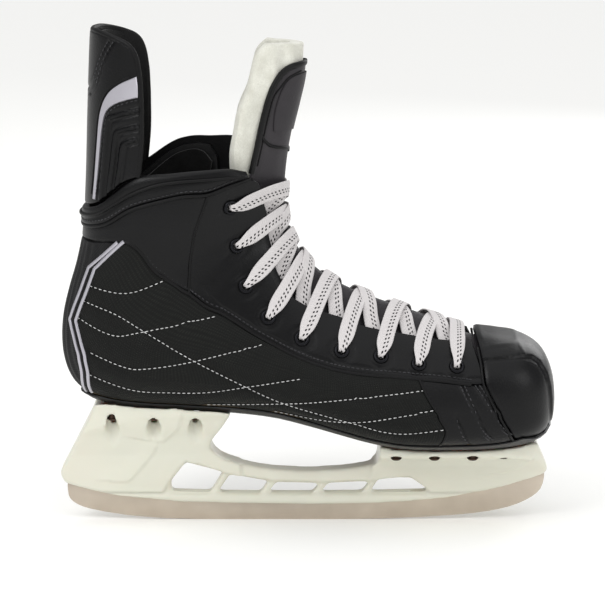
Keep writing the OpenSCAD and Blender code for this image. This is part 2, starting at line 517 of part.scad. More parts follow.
// widths of a tower by height, half widths from the rail up to the flange
module tower_front(h, half, top) {
    r = rail_w / 2;
    k = [[r, 0], [r, 20], [r + 1.2, 26], [r + (half - r) * 0.2, 27 + (top - 27) * 0.35],
        [r + (half - r) * 0.45, 27 + (top - 27) * 0.64], [half * 0.86, top - 5], [half, top - 3.4],
        [half, top + 12]];
    rotate([90, 0, 90]) linear_extrude(h, center = true)
        polygon(cat(k, [for (i = [len(k) - 1:-1:0]) [-k[i][0], k[i][1]]]));
}
module tower_plan(a) {
    k = [for (p = a) [p[0] * kx, p[1] * flange_w / 60]];
    linear_extrude(120) polygon(cat(k, [for (i = [len(k) - 1:-1:0]) [k[i][0], -k[i][1]]]));
}
REAR_PLAN = rounded([[-144, 7], [-141, 9.5], [-134, 13.5], [-124, 17.2], [-110, 19.8], [-90, 21.4],
    [-60, 23], [-40, 24.2], [-38, 24.3]], 3);
FRONT_PLAN = rounded([[38, 27], [44, 29], [64, 31], [90, 31], [108, 29.5], [122, 25.4], [132, 19.6],
    [138, 13.5], [142, 7.5], [142.5, 7]], 3);
rear_top = sta(17)[1] - 3.4;
front_top = sta(7)[1] - 3.4;
post_x = [-98 * kx, 100 * kx];
deck = [hz(36), hz(33)];

module blade_holder() {
    color([0.88, 0.88, 0.82])
    difference() {
        union() {
            intersection() {
                swept_side(80);
                translate([-92 * kx, 0, 0]) tower_front(112 * kx, flange_w * 0.4, rear_top);
                tower_plan(REAR_PLAN);
            }
            intersection() {
                swept_side(80);
                translate([92 * kx, 0, 0]) tower_front(112 * kx, flange_w * 0.51, front_top);
                tower_plan(FRONT_PLAN);
            }
            intersection() {
                swept_side(rail_w);
                translate([-100 * kx, -30, 0]) cube([200 * kx, 60, hz(44)]);
            }
        }
        // hollow towers, open at the top
        // the rear one stops a wall short of the sloping back
        tower_cavity(-115 - wall, -60, rear_top, deck[0], flange_w * 0.33);
        tower_cavity(54, 126, front_top, deck[1], flange_w * 0.51);
        // slot for the runner and its posts
        intersection() {
            rotate([90, 0, 0]) linear_extrude(runner_t + 0.8, center = true) offset(0.4)
                runner_profile();
            translate([-200, -10, 0]) cube([400, 20, 80]);
        }
        for (i = [0, 1]) translate([post_x[i], 0, deck[i] - 8]) cylinder(d = bolt_d + 0.8, h = 30,
            $fn = 32);
        // rivet holes, with room for the heads under the flange
        for (p = rivet_at) translate([p[0], p[1], p[2] - 20]) {
            cylinder(d = 4.2, h = 60, $fn = 24);
            cylinder(r = 4, h = 20, $fn = 24);
        }
    }
}
module tower_cavity(x0, x1, top, floor, half) {
    r = rail_w / 2;
    intersection() {
        rotate([90, 0, 90]) translate([0, 0, x0 * kx]) linear_extrude((x1 - x0) * kx)
            polygon([[-r, floor], [r, floor], [half * 0.56, top - 6], [half * 0.62, top + 20],
                [-half * 0.62, top + 20], [-half * 0.56, top - 6]]);
        rotate([90, 0, 0]) linear_extrude(80, center = true) polygon([[x0 * kx, top + 20],
            [(x0 - 4) * kx, floor + 14], [x0 * kx, floor], [x1 * kx, floor], [x1 * kx, top + 20]]);
    }
}

// rivet places: x, y, height of the flange underside
rivet_at = cat([for (x = [-112, -88, -64]) for (s = [-1, 1])
        [x * kx, s * flange_w * 0.265, rear_top - 3.4]],
    [for (x = [52, 74, 96, 114]) for (s = [-1, 1])
        [x * kx, s * flange_w * (x > 110 ? 0.37 : 0.44), front_top - 3.4]]);
function sole_z(x) = let (s = find_s([x, 0], 0, NS, 20)) lookup(x, [for (r = rev([for (i = [3:19])
    ST[i]])) [r[0], r[1] - 3.4]]);
module rivets() {
    color([0.72, 0.5, 0.36])
    for (p = rivet_at) translate([p[0], p[1], p[2]]) {
        translate([0, 0, -1.5]) cylinder(r1 = 2.2, r2 = 3.4, h = 1.3, $fn = 24);
        translate([0, 0, -1]) cylinder(d = 3.8, h = sole_z(p[0]) - p[2] + 0.6, $fn = 24);
    }
}

RUNNER_LOW = [[-139.8, 21], [-139.2, 14.6], [-136.6, 10.8], [-130.6, 7.6], [-122, 5.4], [-112, 3.6],
    [-100, 2], [-84, 0.8], [-64, 0.15], [-40, 0], [0, 0], [30, 0.2], [56, 0.9], [80, 2.1], [100, 4],
    [114, 6.4], [124, 9.4], [132.6, 13.8], [137.6, 18.6], [139.4, 24.4], [139.6, 27.6]];
module runner_profile() {
    up = [for (p = rev(BLADE_LINE)) if (p[0] < 138 && p[0] > -137) [p[0] * kx, p[1] + 4]];
    polygon(cat([for (p = rounded(RUNNER_LOW, 2)) [p[0] * kx, p[1]]],
        cat([[139.6 * kx, 28.6]], cat(up, [[-139 * kx, 24.5]]))));
    for (i = [0, 1]) translate([post_x[i] - 11, 12]) square([22, deck[i] - wall - 12]);
}
module runner() {
    color([0.66, 0.63, 0.6])
    difference() {
        rotate([90, 0, 0]) linear_extrude(runner_t, center = true) runner_profile();
        // flat-bottomed seats where the bolt ends are welded on
        for (i = [0, 1]) translate([post_x[i], 0, deck[i] - wall - 5]) cylinder(d = bolt_d, h = 10,
            $fn = 32);
    }
}
module runner_bolts() {
    color([0.6, 0.6, 0.62])
    for (i = [0, 1]) translate([post_x[i], 0, deck[i] - wall - 5])
        cylinder(d = bolt_d - 0.1, h = wall + 5 + 14, $fn = 32);
}
module bolt_washers() {
    color([0.7, 0.7, 0.72])
    for (i = [0, 1]) translate([post_x[i], 0, deck[i] + 0.3]) difference() {
        cylinder(d = bolt_d * 2.1, h = 1.2, $fn = 36);
        translate([0, 0, -1]) cylinder(d = bolt_d + 0.5, h = 4, $fn = 36);
    }
}
module runner_nuts() {
    color([0.62, 0.62, 0.64])
    for (i = [0, 1]) translate([post_x[i], 0, deck[i] + 1.8]) difference() {
        cylinder(d = bolt_d * 1.85, h = 5, $fn = 6);
        translate([0, 0, -1]) cylinder(d = bolt_d + 0.1, h = 8, $fn = 36);
    }
}

// the lace: a bar across the toe-end eyelets, then each end comes out from under the facing
// edge, crosses the tongue and goes down through the next eyelet of the other side
function mixp(a, b, t) = a + (b - a) * t;
function full(p) = p[1] < 0 ? p : [p[0], p[1] - 360];
function eye(i, side) = full(sf(EYELETS[i], side));
function throat_at(s, side) = side < 0 ? [s, -180 + lookup(s, throat_f)]
    : [s, -180 - lookup(s, throat_f)];
function tang(p, q) = let (v = osp(p, 0) - osp(q, 0)) v / norm(v);
// one station of the lace: surface position, height, width, thickness factor, facing sign, lean
function stn(p, o, w, t, g, e) = [osp(p, o), g * (nrm(p[0], p[1]) + e), w, lace_t * t];
flat = [0, 0, 0];
under_o = -(panel_t + 1.8);
// one crossing from eyelet i + 1 on one side to eyelet i on the other, higher when up = 1
function crossing(i, side, up, g) = let (a = eye(i + 1, side), b = eye(i, -side),
    ta = throat_at(mixp(a[0], b[0], 0.16), side), tb = throat_at(mixp(a[0], b[0], 0.84), -side),
    mid = [(a[0] + b[0]) / 2, -180], ea = tang(a, ta), eb = tang(b, tb), w = lace_w)
    [stn(a, under_o - 0.2, 4.6, 1, g, -ea), stn(mixp(a, ta, 0.45), under_o - 0.2, 6.4, 1, g, flat),
     stn(mixp(a, ta, 0.86), under_o, w, 1, g, flat), stn(mixp(ta, mid, 0.1), under_o + 0.6, w, 1, g, flat),
     stn(mixp(ta, mid, 0.32), -2.4, w, 1, g, flat), stn(mixp(ta, mid, 0.6), -0.2 + up, w, 1, g, flat),
     stn(mid, 0.4 + up * 1.5, w, 1, g, flat), stn(mixp(mid, tb, 0.4), 0.3 + up * 1.2, w, 1, g, flat),
     stn(mixp(mid, tb, 0.8), 0.6, w, 1, g, flat), stn(mixp(tb, b, 0.12), 1, w, 1, g, flat),
     stn(mixp(tb, b, 0.45), 1.2, w, 1, g, flat), stn(mixp(tb, b, 0.74), 2, 6.6, 1, g, flat),
     stn(mixp(tb, b, 0.92), 1.9, 4.6, 1, g, eb * 0.4), stn(b, 0.4, 3.6, 1.3, g, eb),
     [osp(b, -panel_t), g * eb, 3.4, lace_t * 1.3]];
function half_bar(side) = let (a = eye(8, side), m = [a[0] - 0.15, -180],
    e = tang(a, throat_at(a[0], side)))
    [[osp(a, -panel_t), e, 3.4, lace_t * 1.3], stn(a, 0.4, 3.6, 1.3, 1, e),
     stn(mixp(a, m, 0.05), 2.2, 4.2, 1, 1, e * 0.4), stn(mixp(a, m, 0.2), 2.1, 6.6, 1, 1, flat),
     stn(mixp(a, m, 0.42), 1.2, lace_w, 1, 1, flat), stn(mixp(a, m, 0.62), 0.9, lace_w, 1, 1, flat),
     stn(mixp(a, m, 0.82), 0.7, lace_w, 1, 1, flat)];
function bar() = let (l = half_bar(-1), r = half_bar(1), a = eye(8, -1))
    cat(cat(r, [stn([a[0] - 0.15, -180], 0.6, lace_w, 1, 1, flat)]), rev(l));
// the ends, tucked down inside the boot in front of the ankle padding
function tail(side) = let (c = eye(0, side), e = tang(c, throat_at(c[0], side)))
    cat([stn(c, under_o - 1, 4.6, 1, -1, -e)],
        [for (k = [[-43.5, 188, -8], [-45.5, 185, -11.6], [-50, 179, -12.6], [-57, 168, -12.6],
            [-62, 155, -12.6], [-65, 142, -12.6], [-66, 130, -12.6]])
            stn(full(sf([k[0], k[1]], side)), k[2], lace_w, 1, -1, flat)]);
function strand(side) = [for (i = [7:-1:0]) each crossing(i, (7 - i) % 2 == 0 ? side : -side,
    side < 0 ? 1 : 0, (7 - i) % 2 == 0 ? -1 : 1)];
lateral_run = cat(strand(-1), tail(-1));
medial_run = cat(strand(1), tail(1));
module lace() {
    color([0.92, 0.92, 0.93])
    band(cat(cat(rev(medial_run), bar()), lateral_run));
}
module aglets() {
    color([0.85, 0.85, 0.86])
    for (side = [-1, 1]) let (t = side < 0 ? lateral_run : medial_run, n = len(t),
        d = t[n - 1][0] - t[n - 2][0])
        translate(t[n - 1][0] + d / norm(d) * 0.1) orient(d) cylinder(d = 3, h = 20, $fn = 20);
}

toe_cap();
vamp_lateral();
vamp_medial();
quarter_lateral();
quarter_medial();
ankle_lateral();
ankle_medial();
facing_lateral();
facing_medial();
collar_band();
heel_counter();
heel_piping();
collar_piping();
lasted_shell();
ankle_padding();
toe_cushion();
insole_board();
outsole();
footbed();
eyelets();
tongue_face_lower();
tongue_felt_lower();
tongue_face_upper();
tongue_felt_upper();
tongue_patch();
tendon_guard();
guard_lining();
guard_trim();
blade_holder();
rivets();
runner();
runner_bolts();
bolt_washers();
runner_nuts();
lace();
aglets();
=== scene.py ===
"""Looks of the ice hockey skate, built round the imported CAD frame. Millimetres until a mesh is made."""

import json
import math

import bmesh
import bpy
import numpy as np
from mathutils import Matrix, Vector

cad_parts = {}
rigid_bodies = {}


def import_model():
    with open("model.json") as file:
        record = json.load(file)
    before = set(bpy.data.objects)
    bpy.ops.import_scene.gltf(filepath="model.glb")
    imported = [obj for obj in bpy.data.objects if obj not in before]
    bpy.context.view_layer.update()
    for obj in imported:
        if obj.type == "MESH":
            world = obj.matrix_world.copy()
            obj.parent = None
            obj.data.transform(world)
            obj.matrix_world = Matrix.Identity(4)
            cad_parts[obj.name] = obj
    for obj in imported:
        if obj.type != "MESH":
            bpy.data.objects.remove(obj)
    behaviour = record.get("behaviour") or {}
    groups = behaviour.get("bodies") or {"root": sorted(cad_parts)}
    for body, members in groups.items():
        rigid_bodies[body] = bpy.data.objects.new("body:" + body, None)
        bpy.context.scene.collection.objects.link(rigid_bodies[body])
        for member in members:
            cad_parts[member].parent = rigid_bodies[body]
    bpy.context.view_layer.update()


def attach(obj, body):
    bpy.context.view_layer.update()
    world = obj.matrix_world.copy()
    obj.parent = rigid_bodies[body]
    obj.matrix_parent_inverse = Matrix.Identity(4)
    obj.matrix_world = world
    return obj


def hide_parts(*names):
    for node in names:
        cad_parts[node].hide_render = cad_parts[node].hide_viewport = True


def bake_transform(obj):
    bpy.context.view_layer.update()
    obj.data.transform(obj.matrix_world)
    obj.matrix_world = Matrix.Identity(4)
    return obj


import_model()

# ---------------------------------------------------------------- camera
cam_data = bpy.data.cameras.new("camera")
cam = bpy.data.objects.new("camera", cam_data)
bpy.context.scene.collection.objects.link(cam)
bpy.context.scene.camera = cam
AIM, ELEV, DIST = Vector((-0.002, 0, 0.1293)), math.radians(10.5), 1.6
cam.location = AIM + Vector((0, -DIST * math.cos(ELEV), DIST * math.sin(ELEV)))
cam.rotation_euler = (math.pi / 2 - ELEV, 0, 0)
cam_data.lens, cam_data.sensor_width = 164.2, 36
cam_data.clip_start, cam_data.clip_end = 0.1, 50
cam_data.dof.use_dof = False

# ---------------------------------------------------------------- the boot surface
# x, z of the lower or back point, x, z of the upper or front point, half widths, shift, widest, round low, round high
ST = np.array([
    [142.6, 68, 143.4, 74, 9, 9, 5, 0.5, 2.2, 2.2], [142.0, 62.5, 143.0, 81, 18, 18, 5, 0.45, 2.4, 2.4],
    [140.2, 58, 141.6, 90, 26, 26, 4.6, 0.42, 2.7, 2.7], [136.6, 54.8, 138.2, 98.2, 33, 33, 4, 0.4, 3.0, 2.9],
    [131, 52.8, 132.6, 104, 38, 38.5, 3.2, 0.38, 3.3, 3.0], [122.5, 51.4, 123.5, 108.6, 42, 42, 2.2, 0.37, 3.5, 3.0],
    [111, 50.6, 111, 111.6, 44.5, 44.5, 1.2, 0.36, 3.6, 2.8], [98, 50.2, 97, 114.2, 46.5, 46, 0.4, 0.35, 3.6, 2.4],
    [84, 50.2, 83, 118.6, 48, 47, 0, 0.34, 3.6, 2.1], [69, 50.4, 69, 123.2, 49, 47.5, -0.4, 0.33, 3.6, 1.9],
    [54, 51.2, 55.5, 127.8, 49, 47, -0.8, 0.33, 3.6, 1.8], [38, 53.6, 41.5, 132.8, 47.5, 45, -1, 0.33, 3.4, 1.75],
    [21, 57.8, 28, 138, 45.5, 42.5, -1, 0.34, 3.3, 1.75], [3, 62.4, 15.6, 144.2, 43, 40.5, -0.6, 0.36, 3.2, 1.75],
    [-18, 66.8, 5, 151.8, 40.5, 39, 0, 0.38, 3.0, 1.75], [-42, 69.2, -2.6, 160.4, 38.5, 38, 0, 0.41, 2.9, 1.8],
    [-69, 70.4, -7, 168.4, 37.5, 37.5, 0, 0.44, 2.8, 1.8], [-95, 71.4, -9.6, 174.8, 37, 37, 0, 0.46, 2.7, 1.85],
    [-114, 73.4, -11, 179.8, 36.5, 36.5, 0, 0.47, 2.6, 1.85], [-127.5, 78.2, -11.6, 184, 36.2, 36.2, 0, 0.48, 2.5, 1.9],
    [-135.6, 87, -11.9, 187.8, 36, 36, 0, 0.48, 2.4, 1.9], [-139.8, 98.6, -11.9, 191.4, 36, 36, 0, 0.48, 2.35, 1.9],
    [-140.9, 111.6, -11.8, 195, 36.2, 36.2, 0, 0.47, 2.3, 1.9], [-139.6, 125.4, -11.6, 198.8, 36.8, 36.8, 0, 0.47, 2.3, 1.9],
    [-136.2, 139.4, -11.3, 203, 37.6, 37.6, 0, 0.47, 2.3, 1.9], [-132, 153.6, -10.9, 207.6, 38.6, 38.6, 0, 0.47, 2.3, 1.95],
    [-128.8, 168.4, -10.3, 212.6, 39.4, 39.4, 0, 0.47, 2.3, 2.0], [-127, 184, -9.5, 218.4, 40, 40, 0, 0.46, 2.3, 2.1],
    [-125.8, 201, -8.3, 225.2, 40.4, 40.4, 0, 0.45, 2.3, 2.2], [-125, 220, -6.4, 234, 40.4, 40.4, 0, 0.44, 2.3, 2.3],
    [-124.2, 242, -3.4, 246, 40.2, 40.2, 0, 0.43, 2.3, 2.35], [-123.2, 266, 0.2, 263, 39.6, 39.6, 0, 0.42, 2.3, 2.4],
    [-122, 292, 1.4, 284, 38.6, 38.6, 0, 0.41, 2.3, 2.4]])
NS = len(ST) - 1


def cr(a, b, c, d, t):
    return 0.5 * (2 * b + (c - a) * t + (2 * a - 5 * b + 4 * c - d) * t * t + (3 * b - a - 3 * c + d) * t ** 3)


def sta(s):
    c = np.clip(s, 0, NS - 1e-4)
    i = np.floor(c).astype(int)
    r = [ST[np.clip(i + k, 0, NS)] for k in (-1, 0, 1, 2)]
    return cr(*r, (c - i)[..., None])


def spt(s, f):
    s, f = np.broadcast_arrays(np.asarray(s, float), np.asarray(f, float))
    g = np.where(f > 180, f - 360, np.where(f < -180, f + 360, f))
    r, a = sta(s), np.radians(np.abs(g))
    w = np.where(g < 0, r[..., 4], r[..., 5])
    m, low = r[..., 7], np.abs(g) <= 90
    e = np.where(low, 2 / r[..., 8], 2 / r[..., 9])
    y = w * np.maximum(np.sin(a), 0) ** e
    c = np.abs(np.cos(a)) ** e
    t = np.where(low, m - m * c, m + (1 - m) * c)
    return np.stack([r[..., 0] + (r[..., 2] - r[..., 0]) * t, r[..., 6] + np.where(g < 0, -1, 1) * y,
                     r[..., 1] + (r[..., 3] - r[..., 1]) * t], -1)


def unit(v):
    return v / np.maximum(np.linalg.norm(v, axis=-1, keepdims=True), 1e-9)


def nrm(s, f):
    a, b = spt(np.maximum(s - 0.08, 0), f), spt(np.minimum(s + 0.08, NS), f)
    return unit(np.cross(b - a, spt(s, f + 2.5) - spt(s, f - 2.5)))


def osp(p, o):
    p = np.asarray(p, float)
    return spt(p[..., 0], p[..., 1]) + nrm(p[..., 0], p[..., 1]) * np.asarray(o, float)[..., None]


def sf(x, z, side):
    """Station and angle of a side-view point."""
    x, z = np.broadcast_arrays(np.asarray(x, float), np.asarray(z, float))
    lo, hi = np.zeros(x.shape), np.full(x.shape, float(NS))
    for _ in range(24):
        mid = (lo + hi) / 2
        r = sta(mid)
        on = (r[..., 2] - r[..., 0]) * (z - r[..., 1]) - (r[..., 3] - r[..., 1]) * (x - r[..., 0]) > 0
        lo, hi = np.where(on, mid, lo), np.where(on, hi, mid)
    s = (lo + hi) / 2
    r = sta(s)
    dx, dz, m = r[..., 2] - r[..., 0], r[..., 3] - r[..., 1], r[..., 7]
    t = np.clip(((x - r[..., 0]) * dx + (z - r[..., 1]) * dz) / (dx * dx + dz * dz), 0, 1)
    a = np.degrees(np.arccos(np.clip(np.maximum((m - t) / m, 0) ** (r[..., 8] / 2), -1, 1)))
    b = 180 - np.degrees(np.arccos(np.clip(np.maximum((t - m) / (1 - m), 0) ** (r[..., 9] / 2), -1, 1)))
    return np.stack([s, side * np.where(t <= m, a, b)], -1)


def line(pts, side):
    q = np.array(pts, float)
    return sf(q[:, 0], q[:, 1], side)


def flip(k):
    return np.array(k) * [1, -1]


class Curve:
    """A smooth line through surface positions, walked by its length."""

    def __init__(self, k):
        self.k = np.array(k, float)
        p = spt(self.k[:, 0], self.k[:, 1])
        self.l = np.concatenate([[0], np.cumsum(np.linalg.norm(np.diff(p, axis=0), axis=1) + 1e-3)])
        self.total = self.l[-1]

    def __call__(self, u):
        k, l, n = self.k, self.l, len(self.k)
        v = np.clip(u, 0, 1) * l[-1]
        i = np.clip(np.searchsorted(l, v, side="right") - 1, 0, n - 2)
        t = ((v - l[i]) / (l[i + 1] - l[i]))[..., None]
        return cr(k[np.maximum(i - 1, 0)], k[i], k[i + 1], k[np.minimum(i + 2, n - 1)], t)


def coons(c, u, v):
    a, b, d, e = c
    U, V, z, o = u[..., None], v[..., None], np.zeros(1), np.ones(1)
    return ((1 - V) * a(u) + V * b(u) + (1 - U) * d(v) + U * e(v)
            - ((1 - U) * (1 - V) * a(z) + U * (1 - V) * a(o) + (1 - U) * V * b(z) + U * V * b(o)))


def smooth(t):
    t = np.clip(t, 0, 1)
    return t * t * (3 - 2 * t)


def bump(t, w):
    """1 at t = 0, fading to 0 over w."""
    return np.exp(-(np.asarray(t) / w) ** 2)


# ---------------------------------------------------------------- meshes
def finish_mesh(o, merge, sharp=35):
    bm = bmesh.new()
    bm.from_mesh(o.data)
    if merge:
        bmesh.ops.remove_doubles(bm, verts=bm.verts[:], dist=2e-6)
    bmesh.ops.recalc_face_normals(bm, faces=bm.faces[:])
    lim = math.radians(sharp)
    for f in bm.faces:
        f.smooth = True
    for e in bm.edges:
        e.smooth = len(e.link_faces) == 2 and e.calc_face_angle(0) < lim
    bm.to_mesh(o.data)
    bm.free()


def put(o, body, mat, replaces=()):
    o.data.materials.clear()
    o.data.materials.append(mat)
    if body:
        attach(o, body)
    if replaces:
        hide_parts(*replaces)
    return o


def mapped(name, nu, nv, fn, double=True, merge=False, sharp=35):
    """A grid, doubled into a closed slab when asked, whose points fn places: fn(u, v, layer) -> (mm, uv in mm)."""
    bm = bmesh.new()
    bmesh.ops.create_grid(bm, x_segments=nu, y_segments=nv, size=0.5)
    if double:
        r = bmesh.ops.extrude_face_region(bm, geom=bm.faces[:], use_keep_orig=True)
        bmesh.ops.translate(bm, verts=[e for e in r["geom"] if isinstance(e, bmesh.types.BMVert)], vec=(0, 0, 1))
    me = bpy.data.meshes.new(name)
    bm.to_mesh(me)
    bm.free()
    co = np.empty(len(me.vertices) * 3)
    me.vertices.foreach_get("co", co)
    co = co.reshape(-1, 3)
    p, uv = fn(np.clip(co[:, 0] + 0.5, 0, 1), np.clip(co[:, 1] + 0.5, 0, 1), co[:, 2] > 0.5)
    me.vertices.foreach_set("co", (p / 1000).ravel())
    idx = np.empty(len(me.loops), dtype=np.int32)
    me.loops.foreach_get("vertex_index", idx)
    me.uv_layers.new(name="UVMap").data.foreach_set("uv", (uv[idx] / 1000).ravel())
    o = bpy.data.objects.new(name, me)
    bpy.context.scene.collection.objects.link(o)
    finish_mesh(o, merge, sharp)
    return o


def panel(name, c, nu, nv, top, thick, gaps, roll=1.0, relief=None):
    """A boot panel between four curves: top is its outer offset, roll rounds its edges."""
    c = [k if isinstance(k, Curve) else Curve(k) for k in c]
    lu, lv = (c[0].total + c[1].total) / 2, (c[2].total + c[3].total) / 2

    def place(u, v, up):
        gu0, gu1, gv0, gv1 = gaps
        uu = gu0 / lu + (1 - (gu0 + gu1) / lu) * u
        vv = gv0 / lv + (1 - (gv0 + gv1) / lv) * v
        lu_at = c[0].total * (1 - v) + c[1].total * v
        lv_at = c[2].total * (1 - u) + c[3].total * u
        p = coons(c, uu, vv)
        base, n = spt(p[:, 0], p[:, 1]), nrm(p[:, 0], p[:, 1])
        d = np.minimum(np.minimum(u, 1 - u) * lu_at, np.minimum(v, 1 - v) * lv_at)
        r = roll(p, u, v) if callable(roll) else roll
        o = top - r * (1 - np.sqrt(1 - np.clip(1 - d / r, 0, 1) ** 2))
        if relief is not None:
            o = o + relief(p, base, u * lu_at, v * lv_at, d)
        o = np.where(up, o, top - thick)
        return base + n * o[:, None], np.stack([u * lu, v * lv], -1)

    return mapped(name, nu, nv, place)


def sweep(name, P, N, W, T, around=12, flat=3.0, merge=True, caps=True):
    """A band or cord along points P with normals N, widths W and thicknesses T; flat squares off its section."""
    P, N = np.array(P, float), np.array(N, float)
    W, T = np.broadcast_to(W, len(P)), np.broadcast_to(T, len(P))
    t = unit(np.gradient(P, axis=0))
    b = unit(np.cross(N, t))
    m = np.cross(t, b)
    run = np.concatenate([[0], np.cumsum(np.linalg.norm(np.diff(P, axis=0), axis=1))])
    n = len(P)
    extra = 2 if caps else 0

    def place(u, v, _):
        k = np.rint(u * (n - 1 + extra)).astype(int)
        i = np.clip(k - extra // 2, 0, n - 1)
        end = (k == 0) | (k == n - 1 + extra) if caps else np.zeros(len(k), bool)
        a = v * 2 * np.pi
        e = 2 / flat
        x = np.sign(np.cos(a)) * np.abs(np.cos(a)) ** e * W[i] / 2
        y = np.sign(np.sin(a)) * np.abs(np.sin(a)) ** e * T[i] / 2
        x, y = np.where(end, 0, x), np.where(end, 0, y)
        return P[i] + b[i] * x[:, None] + m[i] * y[:, None], np.stack([run[i], np.where(end, 0, x)], -1)

    return mapped(name, n - 1 + extra, around, place, double=False, merge=merge, sharp=60)


def walk(k, step=1.5):
    """Evenly spaced surface positions along a line of key positions."""
    c = k if isinstance(k, Curve) else Curve(k)
    return c(np.linspace(0, 1, max(2, int(c.total / step))))


def cord_on(name, k, w, t, off, flat=2.0, step=1.5):
    p = walk(k, step)
    return sweep(name, osp(p, np.full(len(p), off)), nrm(p[:, 0], p[:, 1]), w, t, around=10, flat=flat)


def stitches(name, rows, pitch, length, width, off, high=0.5):
    """Thread stitches along surface lines, one mesh."""
    bm = bmesh.new()
    for row in rows:
        c = Curve(row)
        n = max(2, int(c.total / pitch))
        u = (np.arange(n) + 0.5) / n
        p = c(u)
        P = osp(p, off(p) if callable(off) else np.full(n, off))
        a, b = c(u - 0.4 / c.total), c(u + 0.4 / c.total)
        T = unit(spt(b[:, 0], b[:, 1]) - spt(a[:, 0], a[:, 1]))
        N = nrm(p[:, 0], p[:, 1])
        for i in range(n):
            t, w = Vector(T[i]), Vector(N[i])
            y = w.cross(t).normalized()
            z = t.cross(y)
            m = Matrix((t * length / 2, y * width / 2, z * high / 2)).transposed().to_4x4()
            m.translation = Vector(P[i])
            bmesh.ops.create_uvsphere(bm, u_segments=6, v_segments=4, radius=0.001,
                                      matrix=Matrix.Translation(m.translation / 1000) @ m.to_3x3().to_4x4()
                                      @ Matrix.Rotation(math.pi / 2, 4, "Y"))
    for f in bm.faces:
        f.smooth = True
    me = bpy.data.meshes.new(name)
    bm.to_mesh(me)
    bm.free()
    o = bpy.data.objects.new(name, me)
    bpy.context.scene.collection.objects.link(o)
    return o


def copy_of(node, name=None, bevel=0.0, segments=2, limit=30):
    """A merged copy of a CAD node, its flat facets joined and its edges rounded by bevel millimetres."""
    src = next(o for o in bpy.data.objects if o.type == "MESH" and o.name == node)
    bm = bmesh.new()
    bm.from_mesh(src.data)
    bmesh.ops.remove_doubles(bm, verts=bm.verts[:], dist=1e-5)
    bmesh.ops.dissolve_limit(bm, angle_limit=math.radians(2), verts=bm.verts[:], edges=bm.edges[:])
    if bevel:
        e = [e for e in bm.edges if len(e.link_faces) == 2 and e.calc_face_angle(0) > math.radians(limit)]
        bmesh.ops.bevel(bm, geom=e, offset=bevel / 1000, offset_type="OFFSET", segments=segments, profile=0.5,
                        affect="EDGES", clamp_overlap=True, material=-1)
    for f in bm.faces:
        f.smooth = True
    for e in bm.edges:
        e.smooth = len(e.link_faces) == 2 and e.calc_face_angle(0) < math.radians(40)
    me = bpy.data.meshes.new(name or node + "_finish")
    bm.to_mesh(me)
    bm.free()
    o = bpy.data.objects.new(me.name, me)
    bpy.context.scene.collection.objects.link(o)
    return o


def applied(o):
    """The object's modifiers, baked into its mesh."""
    dg = bpy.context.evaluated_depsgraph_get()
    me = bpy.data.meshes.new_from_object(o.evaluated_get(dg))
    o.modifiers.clear()
    old, o.data = o.data, me
    bpy.data.meshes.remove(old)


def rounded(a, n=4):
    a = np.array(a, float)
    i = np.repeat(np.arange(len(a) - 1), n)
    t = np.tile(np.arange(n) / n, len(a) - 1)[:, None]
    out = cr(a[np.maximum(i - 1, 0)], a[i], a[i + 1], a[np.minimum(i + 2, len(a) - 1)], t)
    return np.vstack([out, a[-1:]])


def near(x, z, pts):
    """Distance from side-view points to a drawn line, and which side of it they are on."""
    q = np.array(pts, float)
    best, sign = np.full(np.shape(x), 1e9), np.ones(np.shape(x))
    for (ax, az), (bx, bz) in zip(q[:-1], q[1:]):
        dx, dz = bx - ax, bz - az
        t = np.clip(((x - ax) * dx + (z - az) * dz) / (dx * dx + dz * dz), 0, 1)
        d = np.hypot(x - ax - dx * t, z - az - dz * t)
        c = dx * (z - az) - dz * (x - ax)
        sign = np.where(d < best, np.where(c >= 0, 1, -1), sign)
        best = np.minimum(best, d)
    return best, sign


# ---------------------------------------------------------------- finishes
def hexa(h):
    c = [int(h[i:i + 2], 16) / 255 for i in (1, 3, 5)]
    return tuple((v / 12.92 if v <= 0.04045 else ((v + 0.055) / 1.055) ** 2.4) for v in c) + (1,)


def node(nt, kind, inputs=None, **settings):
    n = nt.nodes.new(kind)
    for k, v in settings.items():
        setattr(n, k, v)
    for k, v in (inputs or {}).items():
        if isinstance(v, bpy.types.NodeSocket):
            nt.links.new(v, n.inputs[k])
        else:
            n.inputs[k].default_value = v
    return n


def surface(name, **sockets):
    """A material with its shader's uniform values; returns it, its tree and its shader."""
    m = bpy.data.materials.new(name)
    m.use_nodes = True
    b = next(n for n in m.node_tree.nodes if n.type == "BSDF_PRINCIPLED")
    for k, v in sockets.items():
        b.inputs[" ".join("IOR" if w == "ior" else w.capitalize() for w in k.split("_"))].default_value = v
    return m, m.node_tree, b


def blend_colours(nt, b, fac, low, high):
    mix = node(nt, "ShaderNodeMix", {"Factor": fac}, data_type="RGBA")
    mix.inputs[6].default_value, mix.inputs[7].default_value = hexa(low), hexa(high)
    nt.links.new(mix.outputs[2], b.inputs["Base Color"])


def raise_by(nt, b, height, mm, strength=1.0):
    n = node(nt, "ShaderNodeBump", {"Height": height, "Distance": mm / 1000, "Strength": strength})
    nt.links.new(n.outputs[0], b.inputs["Normal"])


